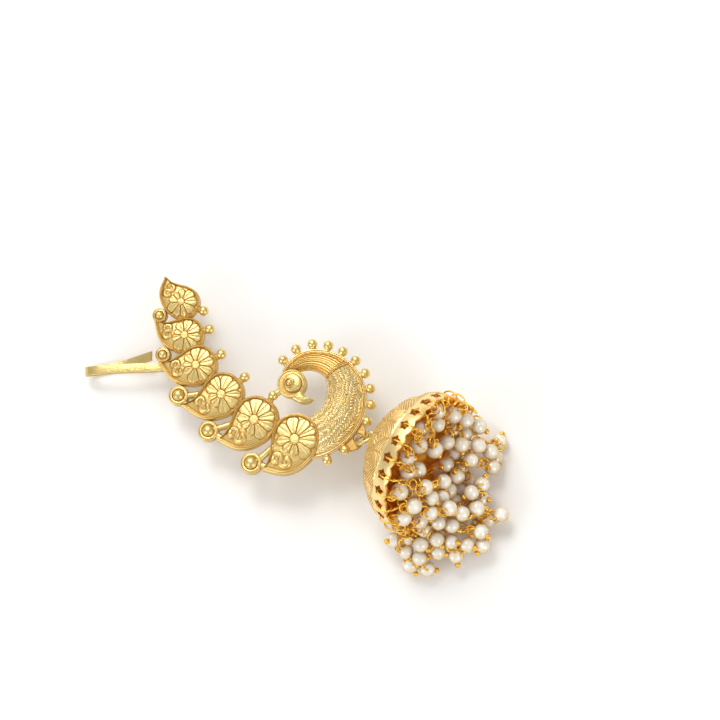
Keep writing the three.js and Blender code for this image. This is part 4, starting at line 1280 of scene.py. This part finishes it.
def settle(pearls):
    inward = MOUTH_FRAME.inverted()
    for _ in range(PASSES):
        for i, pearl in enumerate(pearls):
            for other in pearls[i + 1:]:
                apart = other - pearl
                short = 2 * PEARL_RADIUS + CLEARANCE - apart.length
                if short > 0:
                    apart *= short / 2 / apart.length
                    other += apart
                    pearl -= apart
            local = inward @ pearl
            flat = Vector((local.x, local.y, 0))
            wall = float(bell_radius(-local.z, BELL_WALL / 2))
            away = Vector((flat.length - wall, max(local.z, 0)))
            room = PEARL_RADIUS + BELL_WALL / 2 + CLEARANCE
            if away.length < room:
                away *= room / away.length
                flat *= (wall + away.x) / flat.length
                local = Vector((flat.x, flat.y, away.y if local.z > 0 else local.z))
            pearl[:] = MOUTH_FRAME @ local
            pearl.z = max(pearl.z, PEARL_RADIUS)
    return pearls


pearls = settle([MOUTH_FRAME @ Vector(place) for bunch in BUNCHES for place in bunch])
print("pearls:", len(pearls), "lowest centre, mm:", round(min(p.z for p in pearls), 2))

# %% [markdown]
# Twelve more pearls lie deeper in the tangle, in the looks only. Pearls aren't all of one size,
# so each grows until it meets its nearest neighbour, between a least and a most radius, and its
# skin is a little uneven.

# %% Sizes of the pearls
INNER_PEARLS = [
    (.9, -11.7, -2), (1.05, -8.55, 3.75), (2, -14.7, 3.25), (-.95, -13.2, 3.5), (-.65, -9.25, 8),
    (-3.65, -11.4, 4.5), (-6.6, -15.6, 7.25), (5.8, -7.2, -6), (-5.7, -7.1, -3), (-5.6, -10.8, 0),
    (-2.35, -8.3, 3.75), (-4.8, -8.2, -6),
]
LEAST_RADIUS, MOST_RADIUS, WOBBLE = 1.64, 1.9, .2
inner_pearls = [MOUTH_FRAME @ Vector(place) for place in INNER_PEARLS]
pearl_rows = []
for pearl in pearls + inner_pearls:
    nearest = min((other - pearl).length for other in pearls + inner_pearls if other is not pearl)
    radius = min(max(nearest / 2, LEAST_RADIUS), MOST_RADIUS)
    pearl_rows.append((*inside_box(WORLD, pearl, radius + WOBBLE / 4), radius))
bunch_nodes = [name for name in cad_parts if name.startswith("pearl_bunch")]
fit(beads("pearls", pearl_rows, WORLD, PEARL, Roundness=4, Wobble=WOBBLE * MM), "pearl", *bunch_nodes)

# %% [markdown]
# Every pearl is on a gold pin with a small ball at its end. The pins are twisted into links, and
# the links are looped into each other and through the stars, so that there is a tangle of small
# wire loops wherever two pearls meet.

# %% Pins, links and eyes
LINK_SEED, PIN_RADIUS, BALL_RADIUS = 7, .19, .61
LINK_STEP, LINK_SIZES, LINK_SPREAD = 1.7, (.85, 1.1), .35
TANGLE, TANGLE_SIZES, TANGLE_SPREAD, TANGLE_REACH = 3, (.7, 1.15), 1.2, .9
OUTSIDE = PEARL_RADIUS + .45
TAIL_LEAN, TAIL_DROP = .9, Vector((0, 0, -.15))
dice = random.Random(LINK_SEED)
balls, pins, links, turns = [], [], [], []


def any_vector(size):
    return Vector([dice.uniform(-size, size) for _ in range(3)])


def add_link(centre, direction, radius, spread):
    """A wire loop whose plane holds a direction, give or take."""
    along = (direction + any_vector(spread)).normalized()
    facing = along.cross(any_vector(1)).normalized()
    links.append((*inside_box(WORLD, centre, radius + PIN_RADIUS), radius))
    turns.append(facing.to_track_quat("Z", "Y").to_euler())


def string_pearl(before, room, pearl):
    """Chain from a place to a pearl, a tangle of loops above it, and its pin with a ball."""
    run = pearl - before
    heading_to = run.normalized()
    gap = run.length - room - PEARL_RADIUS
    count = max(1, round(gap / LINK_STEP))
    for number in range(count):
        spot = before + heading_to * (room + gap * (number + .5) / count)
        add_link(spot, heading_to, dice.uniform(*LINK_SIZES), LINK_SPREAD)
    for _ in range(TANGLE):
        spot = pearl - heading_to * OUTSIDE + any_vector(TANGLE_REACH)
        add_link(spot, heading_to, dice.uniform(*TANGLE_SIZES), TANGLE_SPREAD)
    tail = (heading_to + any_vector(1) * TAIL_LEAN + TAIL_DROP).normalized()
    ball = inside_box(WORLD, pearl + tail * OUTSIDE, BALL_RADIUS)
    balls.append((*ball, BALL_RADIUS))
    pins.append([pearl.copy(), ball])


print("loops in a tangle:", TANGLE, "one more for every", LINK_STEP, "mm of chain")

# %% [markdown]
# Each star carries a tall wire eye, and its bunch of pearls is strung one by one from there.
# The inner pearls are strung from whichever pearl is nearest.

# %% Stringing the bunches
EYE_LEVEL, EYE_WIDE, EYE_TALL = .6, 1.2, 1.6
up, around_eye = Vector((0, 0, 1)), np.linspace(0, 2 * math.pi, 24, endpoint=False)
wall = float(bell_radius(EYE_LEVEL, BELL_WALL / 2))
eyes, place_in = [], 0
for star, bunch in enumerate(BUNCHES):
    heading = 2 * math.pi * star / STARS
    outward = Vector((math.cos(heading), math.sin(heading), 0))
    middle = outward * wall - up * EYE_LEVEL
    oval = [middle + outward * EYE_WIDE * math.cos(t) + up * EYE_TALL * math.sin(t) for t in around_eye]
    eyes.append([inside_box(BELL, point, PIN_RADIUS) for point in oval])
    before, room = MOUTH_FRAME @ (middle + up * EYE_TALL), 0
    for pearl in pearls[place_in:place_in + len(bunch)]:
        string_pearl(before, room, pearl)
        before, room = pearl, PEARL_RADIUS
    place_in += len(bunch)
for pearl in inner_pearls:
    string_pearl(min(pearls, key=lambda other: (other - pearl).length), PEARL_RADIUS, pearl)
strings = [
    beads("pin_balls", balls, WORLD, WIRE_GOLD, Roundness=3),
    wires("pins", pins, WORLD, WIRE_GOLD, PIN_RADIUS, 6, closed=False),
    wires("wire_eyes", eyes, BELL, WIRE_GOLD, PIN_RADIUS, 6),
    grow("wire_links", bead_points(links, WORLD, turns), LOOPS, WIRE_GOLD, Wire=.19, Steps=24, Sides=6),
]
for piece in strings:
    fit(piece, "pearl", *bunch_nodes)
print("links:", len(links))

# %% [markdown]
